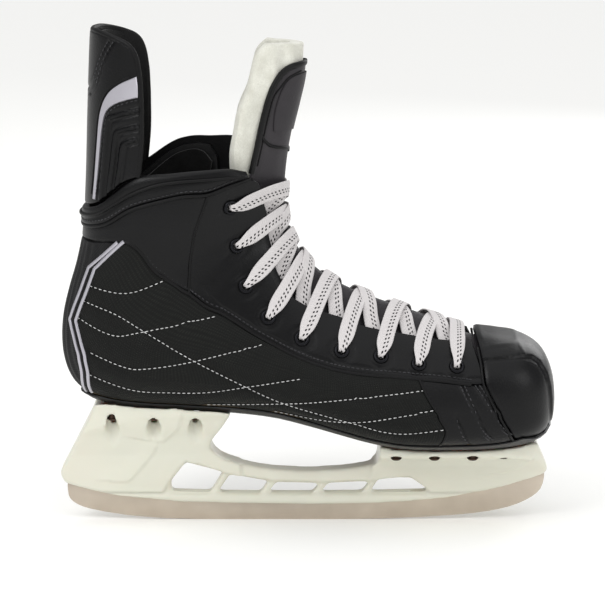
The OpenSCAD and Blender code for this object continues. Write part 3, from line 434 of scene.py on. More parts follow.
def leather(name, dark, light, rough, grain=1.3, depth=0.12):
    """Synthetic leather, embossed: a fine pebble grain that breaks up a soft highlight."""
    m, nt, b = surface(name, Roughness=rough, Specular_ior_level=0.22)
    at = node(nt, "ShaderNodeTexCoord").outputs["Object"]
    cell = node(nt, "ShaderNodeTexVoronoi", {"Vector": at, "Scale": 1000 / grain, "Randomness": 0.9},
                feature="SMOOTH_F1")
    tone = node(nt, "ShaderNodeTexNoise", {"Vector": at, "Scale": 1000 / 28, "Detail": 3.0})
    fine = node(nt, "ShaderNodeTexNoise", {"Vector": at, "Scale": 1000 / 0.7, "Detail": 2.0})
    blend_colours(nt, b, tone.outputs["Fac"], dark, light)
    sum_ = node(nt, "ShaderNodeMath", {0: cell.outputs["Distance"], 1: fine.outputs["Fac"]}, operation="ADD")
    r = node(nt, "ShaderNodeMapRange", {"Value": fine.outputs["Fac"], "To Min": rough - 0.06, "To Max": rough + 0.1})
    nt.links.new(r.outputs[0], b.inputs["Roughness"])
    raise_by(nt, b, sum_.outputs[0], depth)
    return m


def woven(name, dark, light, rough, thread, depth=0.16):
    """Woven ballistic nylon: square basket weave, its colour painted lighter on each thread crown as a painted
    highlight (a small glint) and darker between threads as painted shade. Drawn twice as coarse.
    """
    m, nt, b = surface(name, Roughness=rough, Specular_ior_level=0.22, Sheen_weight=0.02)
    uv = node(nt, "ShaderNodeTexCoord").outputs["UV"]
    s = 2 * math.pi / 20 / (thread / 1000)
    wob = node(nt, "ShaderNodeTexNoise", {"Vector": uv, "Scale": 1000 / 9.0})
    a = node(nt, "ShaderNodeTexWave", {"Vector": uv, "Scale": s, "Distortion": 0.25}, bands_direction="X")
    c = node(nt, "ShaderNodeTexWave", {"Vector": uv, "Scale": s, "Distortion": 0.25}, bands_direction="Y")
    p = node(nt, "ShaderNodeMath", {0: a.outputs["Fac"], 1: c.outputs["Fac"]}, operation="MULTIPLY")
    # p peaks on the thread crowns: the lighter colour it gives there is a painted highlight, and its dark between the
    # threads is painted shade
    tone = node(nt, "ShaderNodeMath", {0: p.outputs[0], 1: wob.outputs["Fac"]}, operation="MULTIPLY")
    blend_colours(nt, b, tone.outputs[0], dark, light)
    raise_by(nt, b, p.outputs[0], depth)
    return m


def moulded(name, dark, light, rough, coarse=2.0, depth=0.03, **more):
    """Injection-moulded plastic: nearly smooth, with a faint spark-eroded texture."""
    m, nt, b = surface(name, Roughness=rough, **more)
    at = node(nt, "ShaderNodeTexCoord").outputs["Object"]
    tone = node(nt, "ShaderNodeTexNoise", {"Vector": at, "Scale": 1000 / 45, "Detail": 4.0})
    fine = node(nt, "ShaderNodeTexNoise", {"Vector": at, "Scale": 1000 / coarse, "Detail": 3.0})
    blend_colours(nt, b, tone.outputs["Fac"], dark, light)
    r = node(nt, "ShaderNodeMapRange", {"Value": tone.outputs["Fac"], "To Min": rough - 0.06, "To Max": rough + 0.08})
    nt.links.new(r.outputs[0], b.inputs["Roughness"])
    raise_by(nt, b, fine.outputs["Fac"], depth)
    return m


def metal(name, dark, light, rough, stretch=(1, 1, 1), grit=0.5, depth=0.02):
    """Metal, ground or plated: fine lines along the way it was worked."""
    m, nt, b = surface(name, Metallic=1.0, Roughness=rough)
    at = node(nt, "ShaderNodeTexCoord").outputs["Object"]
    mp = node(nt, "ShaderNodeMapping", {"Vector": at, "Scale": tuple(1000 / grit * v for v in stretch)})
    line_ = node(nt, "ShaderNodeTexNoise", {"Vector": mp.outputs[0], "Scale": 1.0, "Detail": 3.0})
    cloud = node(nt, "ShaderNodeTexNoise", {"Vector": at, "Scale": 1000 / 22, "Detail": 3.0})
    blend_colours(nt, b, cloud.outputs["Fac"], dark, light)
    r = node(nt, "ShaderNodeMapRange", {"Value": line_.outputs["Fac"], "To Min": rough - 0.1, "To Max": rough + 0.16})
    nt.links.new(r.outputs[0], b.inputs["Roughness"])
    raise_by(nt, b, line_.outputs["Fac"], depth)
    return m


def felt(name, dark, light, fibre=1.1, depth=0.25, sheen=0.35, rough=0.95):
    """Pressed felt or brushed pile: matt, matted fibres with soft mottling."""
    m, nt, b = surface(name, Roughness=rough, Specular_ior_level=0.15, Sheen_weight=sheen, Sheen_roughness=0.6)
    at = node(nt, "ShaderNodeTexCoord").outputs["Object"]
    hair = node(nt, "ShaderNodeTexNoise", {"Vector": at, "Scale": 1000 / fibre, "Detail": 5.0, "Roughness": 0.7,
                                           "Distortion": 1.2})
    mott = node(nt, "ShaderNodeTexNoise", {"Vector": at, "Scale": 1000 / 9, "Detail": 4.0})
    fac = node(nt, "ShaderNodeMath", {0: hair.outputs["Fac"], 1: mott.outputs["Fac"]}, operation="MULTIPLY")
    r = node(nt, "ShaderNodeMapRange", {"Value": fac.outputs[0], "From Min": 0.12, "From Max": 0.42})
    blend_colours(nt, b, r.outputs[0], dark, light)
    raise_by(nt, b, hair.outputs["Fac"], depth)
    return m


def braided(name, base, tick, width):
    """Flat braided polyester lace: two rows of dark tracer ticks and a fine rib across."""
    m, nt, b = surface(name, Roughness=0.7, Specular_ior_level=0.3, Sheen_weight=0.2)
    uv = node(nt, "ShaderNodeTexCoord").outputs["UV"]
    sep = node(nt, "ShaderNodeSeparateXYZ", {0: uv})
    lean = node(nt, "ShaderNodeMath", {0: sep.outputs[1], 1: 0.7, 2: sep.outputs[0]}, operation="MULTIPLY_ADD")
    step = node(nt, "ShaderNodeMath", {0: lean.outputs[0], 1: 0.003}, operation="DIVIDE")
    frac = node(nt, "ShaderNodeMath", {0: step.outputs[0]}, operation="FRACT")
    on = node(nt, "ShaderNodeMath", {0: frac.outputs[0], 1: 0.45}, operation="LESS_THAN")
    shift = node(nt, "ShaderNodeMath", {0: sep.outputs[1], 1: -width * 0.12 / 1000}, operation="ADD")
    away = node(nt, "ShaderNodeMath", {0: shift.outputs[0]}, operation="ABSOLUTE")
    row = node(nt, "ShaderNodeMath", {0: away.outputs[0], 1: width * 0.1 / 1000, 2: 0.00045}, operation="COMPARE")
    both = node(nt, "ShaderNodeMath", {0: on.outputs[0], 1: row.outputs[0]}, operation="MULTIPLY")
    blend_colours(nt, b, both.outputs[0], base, tick)
    rib = node(nt, "ShaderNodeTexWave", {"Vector": uv, "Scale": 2 * math.pi / 20 / 0.0009, "Distortion": 0.4},
               bands_direction="DIAGONAL")
    raise_by(nt, b, rib.outputs["Fac"], 0.12)
    return m


GRAIN = leather("black_grained_synthetic_leather", "#050506", "#0e0e10", 0.42)
SMOOTH = leather("black_smooth_synthetic_leather", "#050506", "#0d0d0f", 0.34, 0.9, 0.07)
EDGE = leather("black_binding", "#030304", "#0a0a0b", 0.45, 0.8, 0.06)
WEAVE = woven("black_ballistic_nylon", "#030403", "#1f211d", 0.66, 1.3)
RIB = woven("dark_grey_nylon", "#0c0c0d", "#2c2c2f", 0.6, 1.0)
VINYL = leather("charcoal_vinyl", "#2b292c", "#3a373a", 0.5, 1.0, 0.1)
FELT = felt("off_white_wool_felt", "#c9c8bc", "#e6e6dc")
PILE = felt("black_brushed_lining", "#060606", "#1a1a1b", 0.8, 0.3, 0.12)
IVORY = moulded("ivory_moulded_nylon", "#d6d4c4", "#e2e0d2", 0.34, Subsurface_weight=0.04, Coat_weight=0.06)
BLACK = moulded("black_moulded_composite", "#0d0d0e", "#19191b", 0.4)
BOARD = moulded("pressed_fibre_board", "#5c5142", "#75684f", 0.85, 0.8, 0.1)
FOAM = felt("grey_foam_lining", "#222225", "#38383c", 0.7, 0.15, 0.1)
STEEL = metal("ground_stainless_steel", "#b3a799", "#d6cbbd", 0.36, (0.03, 1, 1))
ZINC = metal("zinc_plated_steel", "#9a9a9c", "#bcbcc0", 0.36)
# the rivets' copper is made darker than the metal is, as painted shade for where they sit under the holder's flange
RIVET_COPPER_PAINTED_SHADE = metal("darkened_copper_rivet", "#3c2f28", "#5c4a40", 0.5)
LACQUER = metal("black_lacquered_steel", "#1b1b1d", "#2c2c2f", 0.34)
SILVER = moulded("silver_reflective_vinyl", "#a09ea6", "#c4c2ca", 0.32, 0.7, 0.04, Metallic=0.55)
LACE = braided("white_flat_lace", "#cfcbcb", "#0c0c0d", 8)
WHITE = felt("white_nylon_thread", "#b0b0b0", "#dedede", 0.5, 0.05, 0.1, 0.6)
DARK = felt("black_nylon_thread", "#1a1a1c", "#444448", 0.5, 0.05, 0.1, 0.55)
CLEAR = moulded("clear_lace_tip", "#cfcfd2", "#e2e2e6", 0.2, Transmission_weight=0.4)

# ---------------------------------------------------------------- the boot's pattern, side view
# thickness of the panels, and how much higher the collar stands on the medial side, mm
T_PANEL, COLLAR_RISE = 2.2, 11
SOLE = [[124, 57.5], [111, 54.6], [98, 53.9], [84, 53.7], [76, 53.6], [60, 54], [42, 56], [24, 60],
        [5, 65], [-13, 69.5], [-31, 71.8], [-58, 73.2], [-76, 74], [-95, 74.8], [-108, 76], [-118, 77.9]]
THROAT = [[95.5, 110.5], [76, 113], [56, 116.5], [36.3, 120.3], [24, 124.8], [8, 129.4], [-1, 133.4], [-8.6, 139],
          [-13.4, 146.5], [-17.5, 155.5], [-19.9, 167.7], [-21.8, 184], [-25, 198]]
FACING_LOW = [[100.6, 90], [93.6, 89.9], [71.9, 92.7], [46.9, 95], [13.6, 99.4], [-3.4, 105],
              [-25, 115.8], [-48.2, 130], [-66, 141]]
FACING_BACK = [[-66, 141], [-65.4, 160.8], [-62.6, 177], [-57.5, 191], [-55, 198]]
FACING_TOP = [[-55, 198], [-43, 202.5], [-32, 206], [-27, 203.5], [-25, 198]]
TEXTILE_TOP = [[-66, 141], [-80.8, 150.8], [-91.8, 163.2], [-98.8, 169.6], [-104, 170.2]]
# the heel seam turns sharply twice, so each corner has points close on both sides
HEEL_V = [[-104, 170.2], [-112.4, 162.2], [-119.4, 155.6], [-121, 154], [-121.9, 151.7], [-126.8, 138.6],
          [-131.8, 125.4], [-132.7, 123], [-132.2, 121], [-130.4, 113.6], [-128.4, 105.6], [-128, 104],
          [-127.6, 101.4], [-126.2, 92], [-124.5, 80.4]]
QUARTER_FRONT = [[76, 53.6], [79.7, 62], [78.5, 67], [72.7, 77.4], [67.5, 86], [64, 93.6]]
CAP_REAR = [[118.4, 56.1], [114.6, 62.9], [110.8, 69.7], [107, 76.5], [103.6, 83.2], [100.6, 90]]
CAP_TOP = [[100.6, 90], [99.4, 100], [97.8, 108], [96.5, 113], [96.2, 120]]
BAND_LOW = [[-32, 206], [-43, 202.5], [-55, 198], [-68, 197.2], [-82, 194.2], [-98.5, 189], [-111.8, 180.5],
            [-121, 177.6]]
BAND_TOP = [[-33, 209.6], [-42, 212], [-55, 212], [-73, 210.6], [-92, 209], [-101, 204.5], [-110, 197], [-119, 190]]
GUARD_LOW = [[-94.4, 207.6], [-102.4, 204.6], [-110.8, 197.6], [-119, 190.8]]
GUARD_FRONT = [[-94.4, 207.6], [-92.6, 226], [-92.4, 243], [-92.6, 253], [-93.2, 263.6], [-95, 274], [-98.6, 280.5]]
GUARD_TOP = [[-98.6, 280.5], [-105, 284], [-113, 286.6], [-119, 288]]
PAD_LOW = [[-47, 138], [-75, 128], [-105, 122], [-128, 123]]
PAD_TOP = [[-53, 197], [-60, 203], [-73, 202.5], [-91, 200.5], [-101, 194.5], [-112, 186], [-121, 182]]
TONGUE_EDGE = [[103, 103], [88, 103.5], [70, 105.5], [50, 109], [34, 112], [18, 116.5], [2, 122],
               [-12, 131], [-20, 141], [-25, 152], [-29, 166], [-31, 182]]
FELT_EDGE = [[-34, 198], [-38, 210], [-38.2, 222], [-36.4, 236], [-33.2, 246], [-29.4, 258], [-25.8, 268],
             [-22.8, 275.5], [-16, 281.6]]
COVER_EDGE = [[-29.5, 198], [-25.6, 210], [-23.2, 220.8], [-21.5, 230], [-19.1, 240.9], [-16.8, 249.1],
              [-13.3, 257.3], [-8.2, 264.2], [-3.6, 267.6], [0.7, 269.2]]
EYELETS = [[-42.6, 189.8], [-39.2, 167.3], [-34.1, 144.7], [-21.4, 127.3], [-2.3, 115.4],
           [20.2, 108.9], [42.5, 105.7], [63.9, 101.4], [85.6, 99.7]]
QUILT = [rounded(q) for q in [
    [[-123.2, 143.9], [-107.4, 141], [-96, 142.2], [-80.6, 148.5]],
    [[-130.6, 125], [-110.3, 116.3], [-93.2, 118.6], [-51.7, 127.9]],
    [[-123.3, 105.1], [-103.5, 97.6], [-91, 97], [-64.8, 101.6], [-25, 112.1]],
    [[-124.5, 91.6], [-99.6, 83.4], [-79.1, 82.3], [-56.9, 82.9], [-34.1, 86.9], [-3.4, 92.8]],
    [[-127.3, 135.1], [-108.7, 128.7], [-92.9, 119.5], [-64.7, 102.6], [-34.1, 86.9], [-13.1, 77.6], [13.7, 70.6],
     [29.1, 67.1], [42.2, 63.5], [56.5, 62.4], [78.1, 64.7]],
    [[-56.9, 74], [-32.4, 75.6], [-3.4, 78.3], [30.7, 82.9], [67, 87.4]],
    [[-18.2, 71.1], [8, 68.1], [30.7, 68.7], [51.2, 72.2], [72.2, 76.3]]]]
SIDES = {-1: "lateral", 1: "medial"}


def ring_round(lateral, mid):
    """A line round the back of the boot: the lateral side, the middle, the medial side."""
    a = line(lateral, -1)
    return np.vstack([a, [mid], flip(a)[::-1]])


def climb(pts):
    """The collar stands higher on the medial side, in front of the tendon guard."""
    q = np.array(pts, float)
    q[:, 1] += COLLAR_RISE * smooth((q[:, 0] + 97) / 25) * smooth((q[:, 1] - 180) / 20)
    return q


def collar_round(lateral, mid):
    return np.vstack([line(lateral, -1), [mid], line(climb(lateral), 1)[::-1]])


def puffed(lines, high, groove, w=1.3, soft=6.0):
    """Padding that swells between sewn lines and is drawn in along them."""
    def fn(p, base, ul, vl, d):
        q = np.full(len(base), 1e9)
        for pts in lines:
            q = np.minimum(q, near(base[:, 0], base[:, 2], pts)[0])
        q = np.minimum(q, d + 1.5)
        return high * (1 - np.exp(-q / soft)) - groove * bump(q, w)
    return fn


for side, word in SIDES.items():
    # vamp of grained leather between the quarter and the toe cap
    o = panel("vamp_" + word, [line([[76, 53.6], [84, 53.7], [98, 53.9], [111, 54.6], [118.4, 56.1]], side),
                               line([[64, 93.6], [71.9, 92.7], [84, 91.2], [93.6, 89.9], [100.6, 90]], side),
                               line(QUARTER_FRONT, side), line(CAP_REAR, side)],
              30, 30, 0.2, T_PANEL + 0.2, (0, 0.4, 0.8, 0.4), 0.8,
              puffed([[[85.3, 72.1], [92.8, 55.2]], [[88.5, 89.6], [105.3, 57.5]], [[97, 89.6], [116.1, 60.4]]],
                     0.5, 0.7, 0.8, 2))
    put(o, "boot", GRAIN, ["vamp_" + word])
    # quarter of quilted nylon
    o = panel("quarter_" + word, [line(SOLE[4:] + [[-124.5, 80.4]], side),
                                  line([[64, 93.6], [46.9, 95], [13.6, 99.4], [-3.4, 105], [-25, 115.8],
                                        [-48.2, 130], [-66, 141]] + TEXTILE_TOP[1:], side),
                                  line(QUARTER_FRONT, side), line(HEEL_V[::-1], side)],
              130, 48, 0, T_PANEL, (0.4, 0.4, 0.4, 0.4), 0.9, puffed(QUILT, 1.1, 0.5))
    put(o, "boot", WEAVE, ["quarter_" + word])
    back = np.array([sf(-128.5, 171, side) * [1, 0], sf(-127.6, 177.6, side) * [1, 0]])
    o = panel("ankle_" + word, [np.vstack([line(TEXTILE_TOP + [[-109, 170.7], [-116, 171]], side), back[:1]]),
                                np.vstack([line(BAND_LOW[2:], side), back[1:]]), line(FACING_BACK, side), back],
              70, 30, 0.3, T_PANEL + 0.3, (0.4, 0.1, 0.4, 0.4), 1.0, puffed([], 0.6, 0, soft=9))
    put(o, "boot", SMOOTH, ["ankle_" + word])

    def eyelet_dips(p, base, ul, vl, d, side=side):
        r = np.full(len(base), 1e9)
        for e in EYELETS:
            q = sf(*e, side)
            r = np.minimum(r, np.linalg.norm(base - spt(q[0], q[1]), axis=1))
        low = near(base[:, 0], base[:, 2], FACING_LOW)[0]
        return 0.25 - 1.7 * bump(r, 2.6) - 0.5 * bump(r - 6.6, 0.9) - 0.35 * bump(low - 3.2, 0.7)
    o = panel("facing_" + word, [line(FACING_LOW, side), line(THROAT, side),
                                 line([[100.6, 90], [99.4, 100], [95.5, 110.5]], side),
                                 line(FACING_BACK + FACING_TOP[1:], side)],
              170, 34, 0, T_PANEL, (0.4, 0.4, 0.4, 0), 1.0, eyelet_dips)
    put(o, "boot", SMOOTH, ["facing_" + word])

# heel counter, one panel round the back, with moulded upright ribs
low = np.vstack([[sf(-124.5, 80.4, -1)], [[19.3, -8], [19.45, 0], [19.3, 8]], [sf(-124.5, 80.4, 1)]])
top = ring_round([[-104, 170.2], [-109, 169.6], [-116, 169.4]], sf(-128.7, 169.4, 1) * [1, 0])
left = line(HEEL_V[::-1], -1)
o = panel("heel_counter", [low, top, left, flip(left)], 70, 80, 0, T_PANEL, (0.4,) * 4, 0.9,
          lambda p, base, ul, vl, d: 0.35 * (1 - np.exp(-d / 4)) + 0.28 * np.cos(base[:, 1] * 2 * np.pi / 5)
          * smooth(d / 6))
put(o, "boot", RIB, ["heel_counter"])
# padded collar band
low = ring_round(BAND_LOW, sf(-127.6, 177.6, 1) * [1, 0])
top = collar_round(BAND_TOP, sf(-126.4, 187.2, 1) * [1, 0])
o = panel("collar_band", [low, top, np.array([low[0], top[0]]), np.array([low[-1], top[-1]])],
          220, 22, 1.6, T_PANEL + 1.6, (0.4,) * 4, lambda p, u, v: 2.2,
          lambda p, base, ul, vl, d: 0.7 * (1 - np.exp(-d / 3)) - 0.4 * bump(vl - 3.6, 0.8))
put(o, "boot", SMOOTH, ["collar_band"])

# ---------------------------------------------------------------- toe cap
STEP_LINE = [[90, 101.5], [102.2, 102.8], [112, 103.2], [123, 103.4], [129, 102.2], [133.2, 99.2], [137.2, 92.7],
             [139.5, 85.2], [140.6, 76.8], [141.2, 66], [141, 58]]
PLATEAU = [[100, 107.6], [112, 108.4], [121.6, 108.6], [124.4, 104.2]]
edge = np.vstack([line(CAP_REAR, -1), line(CAP_TOP, -1)])
edge_f = np.concatenate([[0], -edge[:, 1]])
edge_s = np.concatenate([[edge[0, 0] - 0.1], edge[:, 0]])


def cap(u, v, up):
    """Moulded cup: rows run from the tip to the rear edge, columns round the toes."""
    f = -180 + 360 * v
    rear = np.interp(np.abs(f), edge_f, edge_s) - 0.12
    t = np.clip((u - 0.1) / 0.9, 0, 1)
    s = rear * t ** 1.25
    r = np.clip(u / 0.1, 0, 1)
    tip = (spt(0, 180.0) + spt(0, 0.0)) / 2 + [0.5, 0, 0]
    base, n = spt(s, f), nrm(s, f)
    n = unit(n * r[:, None] + np.array([1, 0, 0]) * (1 - r[:, None]))
    base = np.where((u < 0.1)[:, None], tip + (base - tip) * r[:, None], base)
    d, sign = near(base[:, 0], base[:, 2], STEP_LINE)
    high = smooth((d * sign + 0.35) / 0.7)
    ledge = near(base[:, 0], base[:, 2], PLATEAU)[0]
    left = (1 - t) * 40
    rolled = 1 - np.sqrt(1 - np.clip(1 - left, 0, 1) ** 2)
    o = 0.1 + 1.1 * high - 0.35 * bump(d * sign + 0.8, 0.6) + 0.35 * bump(ledge, 0.8) - rolled
    o = np.where(up, o, -T_PANEL)
    return base + n * o[:, None], np.stack([s * 8, f / 2], -1)


o = mapped("toe_cap", 96, 230, cap, merge=True)
put(o, "boot", SMOOTH, ["toe_cap"])

# ---------------------------------------------------------------- piping, bindings and stitches
for side, word in SIDES.items():
    for i, d in enumerate((0, 3.6)):
        k = line([[p[0] + d - 2.2, p[1] + (d * 0.2 if p[1] > 160 else 0)] for p in HEEL_V], side)
        o = cord_on(f"heel_piping_{word}_{i}", k, 2.1, 1.4, 0.7, 3)
        put(o, "boot", SILVER, ["heel_piping"])
    k = line([[p[0] - 0.4, p[1]] for p in HEEL_V], side)
    put(cord_on(f"heel_piping_core_{word}", k, 1.6, 1.2, 0.5), "boot", EDGE)
    for name, pts, w in (("ankle_edge", TEXTILE_TOP, 2.0), ("facing_edge", FACING_LOW[1:], 1.8),
                         ("facing_back_edge", FACING_BACK, 1.6), ("quarter_edge", QUARTER_FRONT, 1.6),
                         ("cap_edge", CAP_REAR + CAP_TOP[1:3], 1.5)):
        put(cord_on(f"{name}_{word}", line(pts, side), w, 1.3, 0.3), "boot", EDGE)
    rows = [line(q, side) for q in QUILT]
    put(stitches("quilt_stitches_" + word, rows, 2.9, 2.0, 0.6, 0.2), "boot", WHITE)
    rows = []
    for pts, ds in (([[85.3, 72.1], [92.8, 55.2]], (0,)), ([[88.5, 89.6], [105.3, 57.5]], (-1.2, 1.2)),
                    ([[97, 89.6], [116.1, 60.4]], (-1.2, 1.2)), (FACING_LOW[1:], (None,)),
                    (TEXTILE_TOP[:-1], (None,))):
        for d in ds:
            q = [[p[0] + (d or 0), p[1] + (2.8 if d is None else 0)] for p in pts]
            rows.append(line(q, side))
    put(stitches("seam_stitches_" + word, rows, 2.5, 1.8, 0.7, 0.35), "boot", DARK)
    # each eyelet: a pressed ring with a rolled lip and a barrel
    for i, e in enumerate(EYELETS):
        bm = bmesh.new()
        prof = [(2.5, -2.6), (2.5, 0.9), (2.9, 1.45), (3.6, 1.6), (4.2, 1.2), (4.5, 0.4), (4.4, -0.2)]
        vs = [bm.verts.new((x / 1000, 0, z / 1000)) for x, z in prof]
        es = [bm.edges.new(a) for a in zip(vs[:-1], vs[1:])]
        bmesh.ops.spin(bm, geom=vs + es, cent=(0, 0, 0), axis=(0, 0, 1), angle=2 * math.pi, steps=28, use_merge=True)
        q = sf(*e, side)
        n = Vector(nrm(q[0], q[1]))
        m = Matrix.Translation(Vector(spt(q[0], q[1])) / 1000) @ n.to_track_quat("Z", "Y").to_matrix().to_4x4()
        bmesh.ops.transform(bm, matrix=m, verts=bm.verts[:])
        bmesh.ops.solidify(bm, geom=bm.faces[:], thickness=0.0003)
        me = bpy.data.meshes.new(f"eyelet_{word}_{i + 1}")
        bm.to_mesh(me)
        bm.free()
        o = bpy.data.objects.new(me.name, me)
        bpy.context.scene.collection.objects.link(o)
        finish_mesh(o, False, 50)
        put(o, "boot", LACQUER, ["eyelets"])
k = collar_round([[-36, 208], [-50, 207], [-70, 205.8], [-84, 203.6], [-97, 198.4], [-108, 191.4], [-118, 185]],
               sf(-127, 183.2, 1) * [1, 0])
put(cord_on("collar_piping", k, 1.9, 1.6, 2.6), "boot", EDGE, ["collar_piping"])
k = ring_round(BAND_LOW, sf(-127.6, 177.6, 1) * [1, 0])
put(cord_on("collar_low_binding", k, 2.2, 1.8, 1.1), "boot", EDGE)
k = ring_round([[p[0], p[1] + 3.0] for p in BAND_LOW], sf(-127.4, 180.6, 1) * [1, 0])
put(stitches("collar_stitches", [k], 2.6, 2.0, 0.6, 2.0), "boot", DARK)

# ---------------------------------------------------------------- inside the boot
SHELL_O = -(T_PANEL + 0.8)
PAD_O = SHELL_O - 3 - 0.6
low, top = ring_round(PAD_LOW, sf(-139.2, 128, 1) * [1, 0]), collar_round(PAD_TOP, sf(-127.2, 180.6, 1) * [1, 0])
ends = [np.array([low[i], (low[i] + top[i]) / 2, top[i]]) for i in (0, -1)]
o = panel("ankle_padding", [low, top] + ends, 120, 44, PAD_O, 4.5, (0,) * 4, 2.0)
put(o, "boot", PILE, ["ankle_padding"])
for cad, finish in (("lasted_shell", BLACK), ("insole_board", BOARD), ("outsole", BLACK), ("footbed", FOAM),
                    ("toe_cushion", FOAM)):
    src = next(q for q in bpy.data.objects if q.name == cad)
    src.data.materials.clear()
    src.data.materials.append(finish)

# ---------------------------------------------------------------- tongue
throat = np.array([[a[0], 180 - a[1]] for a in line(THROAT, 1)])


def depth(s, f):
    e = np.interp(s, throat[:, 0], throat[:, 1])
    a = 180 - np.abs(np.where(np.abs(f) > 180, 360 - np.abs(f), f))
    return -0.8 - (T_PANEL + 4.2) * smooth(a / e / 1.05) - (T_PANEL + 0.6) * smooth(8.3 - s)


def tongue(name, edge_pts, s0, s1, nu, nv, top, thick, roll=None, relief=None, wave=None):
    k = Curve(line(edge_pts, -1))

    def place(u, v, up):
        a = k(s0 + (s1 - s0) * u)
        w = 180 + a[:, 1]
        if wave:
            w = w + wave(u * k.total)
        f = -180 - w * (2 * v - 1)
        s = a[:, 0]
        mid_ = spt(s, f)
        n = nrm(s, f)
        across = w * 2 * np.pi / 180 * 38
        d = np.minimum(np.minimum(v, 1 - v) * across, (1 - u) * k.total)
        o = top + depth(s, f)
        if roll:
            g = roll * (1 - np.sqrt(1 - np.clip(1 - d / roll, 0, 1) ** 2))
        else:
            g = 0
        r = relief(u * k.total, (v - 0.5) * across, d) if relief is not None else 0
        o = np.where(up, o - g + r, o - thick + g * 0.9 + r * 0.6)
        return mid_ + n * o[:, None], np.stack([u * k.total, v * across], -1)
    return mapped(name, nu, nv, place)


rng = np.random.default_rng(7)
# wavelength, lean, phase and height of each crease
WAVES = [(rng.uniform(14, 40), rng.uniform(-0.7, 0.7), rng.uniform(0, 6.28), rng.uniform(0.15, 0.45))
         for _ in range(14)]


def wrinkles(a, b, d):
    """Soft creases that run up the felt."""
    h = np.zeros(len(a))
    for wl, lean, ph, amp in WAVES:
        h += amp * np.sin(2 * np.pi * (b + 0.35 * lean * a) / (0.7 * wl) + ph)
    return h * 0.5


o = tongue("tongue_felt", TONGUE_EDGE + FELT_EDGE, 0.0, 1, 200, 80, -1.8, 8, 3.4, wrinkles,
           lambda l: 1.0 * np.sin(l / 6.1 + 0.6) * smooth((l - 230) / 30) + 0.3 * np.sin(l / 3.4))
put(o, None, FELT, ["tongue_felt_lower", "tongue_felt_upper"])
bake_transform(o)
o = tongue("tongue_face", TONGUE_EDGE + COVER_EDGE, 0.0, 0.995, 200, 60, 0, 1.4, 0.7,
           lambda a, b, d: wrinkles(a, b, d) * 0.25 - 0.4 * bump(d - 3.6, 0.8))
put(o, None, VINYL, ["tongue_face_lower", "tongue_face_upper"])
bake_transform(o)


def on_tongue(name, pts, w, t, off, mat, side=-1, around=10, replaces=()):
    """A cord or binding that lies on the tongue's face along a side-view line."""
    p = walk(line(pts, side), 1.2)
    n = nrm(p[:, 0], p[:, 1])
    at = spt(p[:, 0], p[:, 1]) + n * (off + depth(p[:, 0], p[:, 1]))[:, None]
    o = sweep(name, at, n, w, t, around=around, flat=3)
    put(o, None, mat, replaces)
    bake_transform(o)
    return o


for side, word in SIDES.items():
    on_tongue("tongue_binding_" + word, [[-26.5, 206]] + COVER_EDGE[1:], 3.4, 2.6, -0.3, EDGE, side)
    inset = [[p[0] + 2.8, p[1] - (3 if p[1] > 255 else 0)] for p in COVER_EDGE[1:-1]]
    on_tongue("tongue_edge_seam_" + word, inset, 0.9, 0.9, 0.1, EDGE, side)
# the cover's cross seam, from side to side over the front
ends = line([[-21, 228.5], [-18.3, 224.3], [-13.8, 221], [-8.3, 219.4], [-5.5, 219]], -1)
seam = np.vstack([ends, [[ends[-1, 0], -180]], (ends * [1, -1] - [0, 360])[::-1]])
p = Curve(seam)(np.linspace(0, 1, 60))
n = nrm(p[:, 0], p[:, 1])
o = sweep("tongue_cross_seam", spt(p[:, 0], p[:, 1]) + n * (0.1 + depth(p[:, 0], p[:, 1]))[:, None], n, 1.8, 1.6)
put(o, None, EDGE)
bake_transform(o)
PATCH_EDGE = [[-14, 230], [-13.4, 240], [-10.8, 250], [-6.8, 258.5], [-2.4, 262.5], [0.5, 263.8]]
o = tongue("tongue_patch", PATCH_EDGE, 0, 1, 50, 40, 0.9, 0.7, 0.6)
put(o, "tongue_top", VINYL, ["tongue_patch"])

# ---------------------------------------------------------------- tendon guard
low, top = ring_round(GUARD_LOW, sf(-126.3, 188.6, 1) * [1, 0]), ring_round(GUARD_TOP, sf(-122.2, 288, 1) * [1, 0])
left = line(GUARD_FRONT, -1)
GROOVES = [[[-107.2, 283], [-113.4, 272], [-117.3, 259.3], [-121.5, 252.6]],
           [[-110.4, 283], [-115.3, 273], [-118.8, 262], [-123, 255.4]]]
RIDGES = [rounded(q, 3) for q in [
    [[-93.6, 245.6], [-109, 240.6], [-111.2, 236], [-112.6, 222], [-115.6, 194]],
    [[-95.2, 236], [-104.8, 233], [-106.6, 229], [-108.2, 216], [-111, 197]],
    [[-96, 228.6], [-101.4, 226.4], [-103, 222], [-104.2, 213], [-106.4, 201]]]]


def guard_relief(p, base, ul, vl, d):
    x, z = base[:, 0], base[:, 2]
    h = 0.3 * (1 - np.exp(-d / 3))
    for g in GROOVES:
        h = h - 0.8 * bump(near(x, z, g)[0], 0.8)
    for g in RIDGES:
        away = near(x, z, g)[0]
        h = h + 1.1 * smooth((1.5 - away) / 0.9) - 0.4 * bump(away - 2.2, 0.7)
    return h


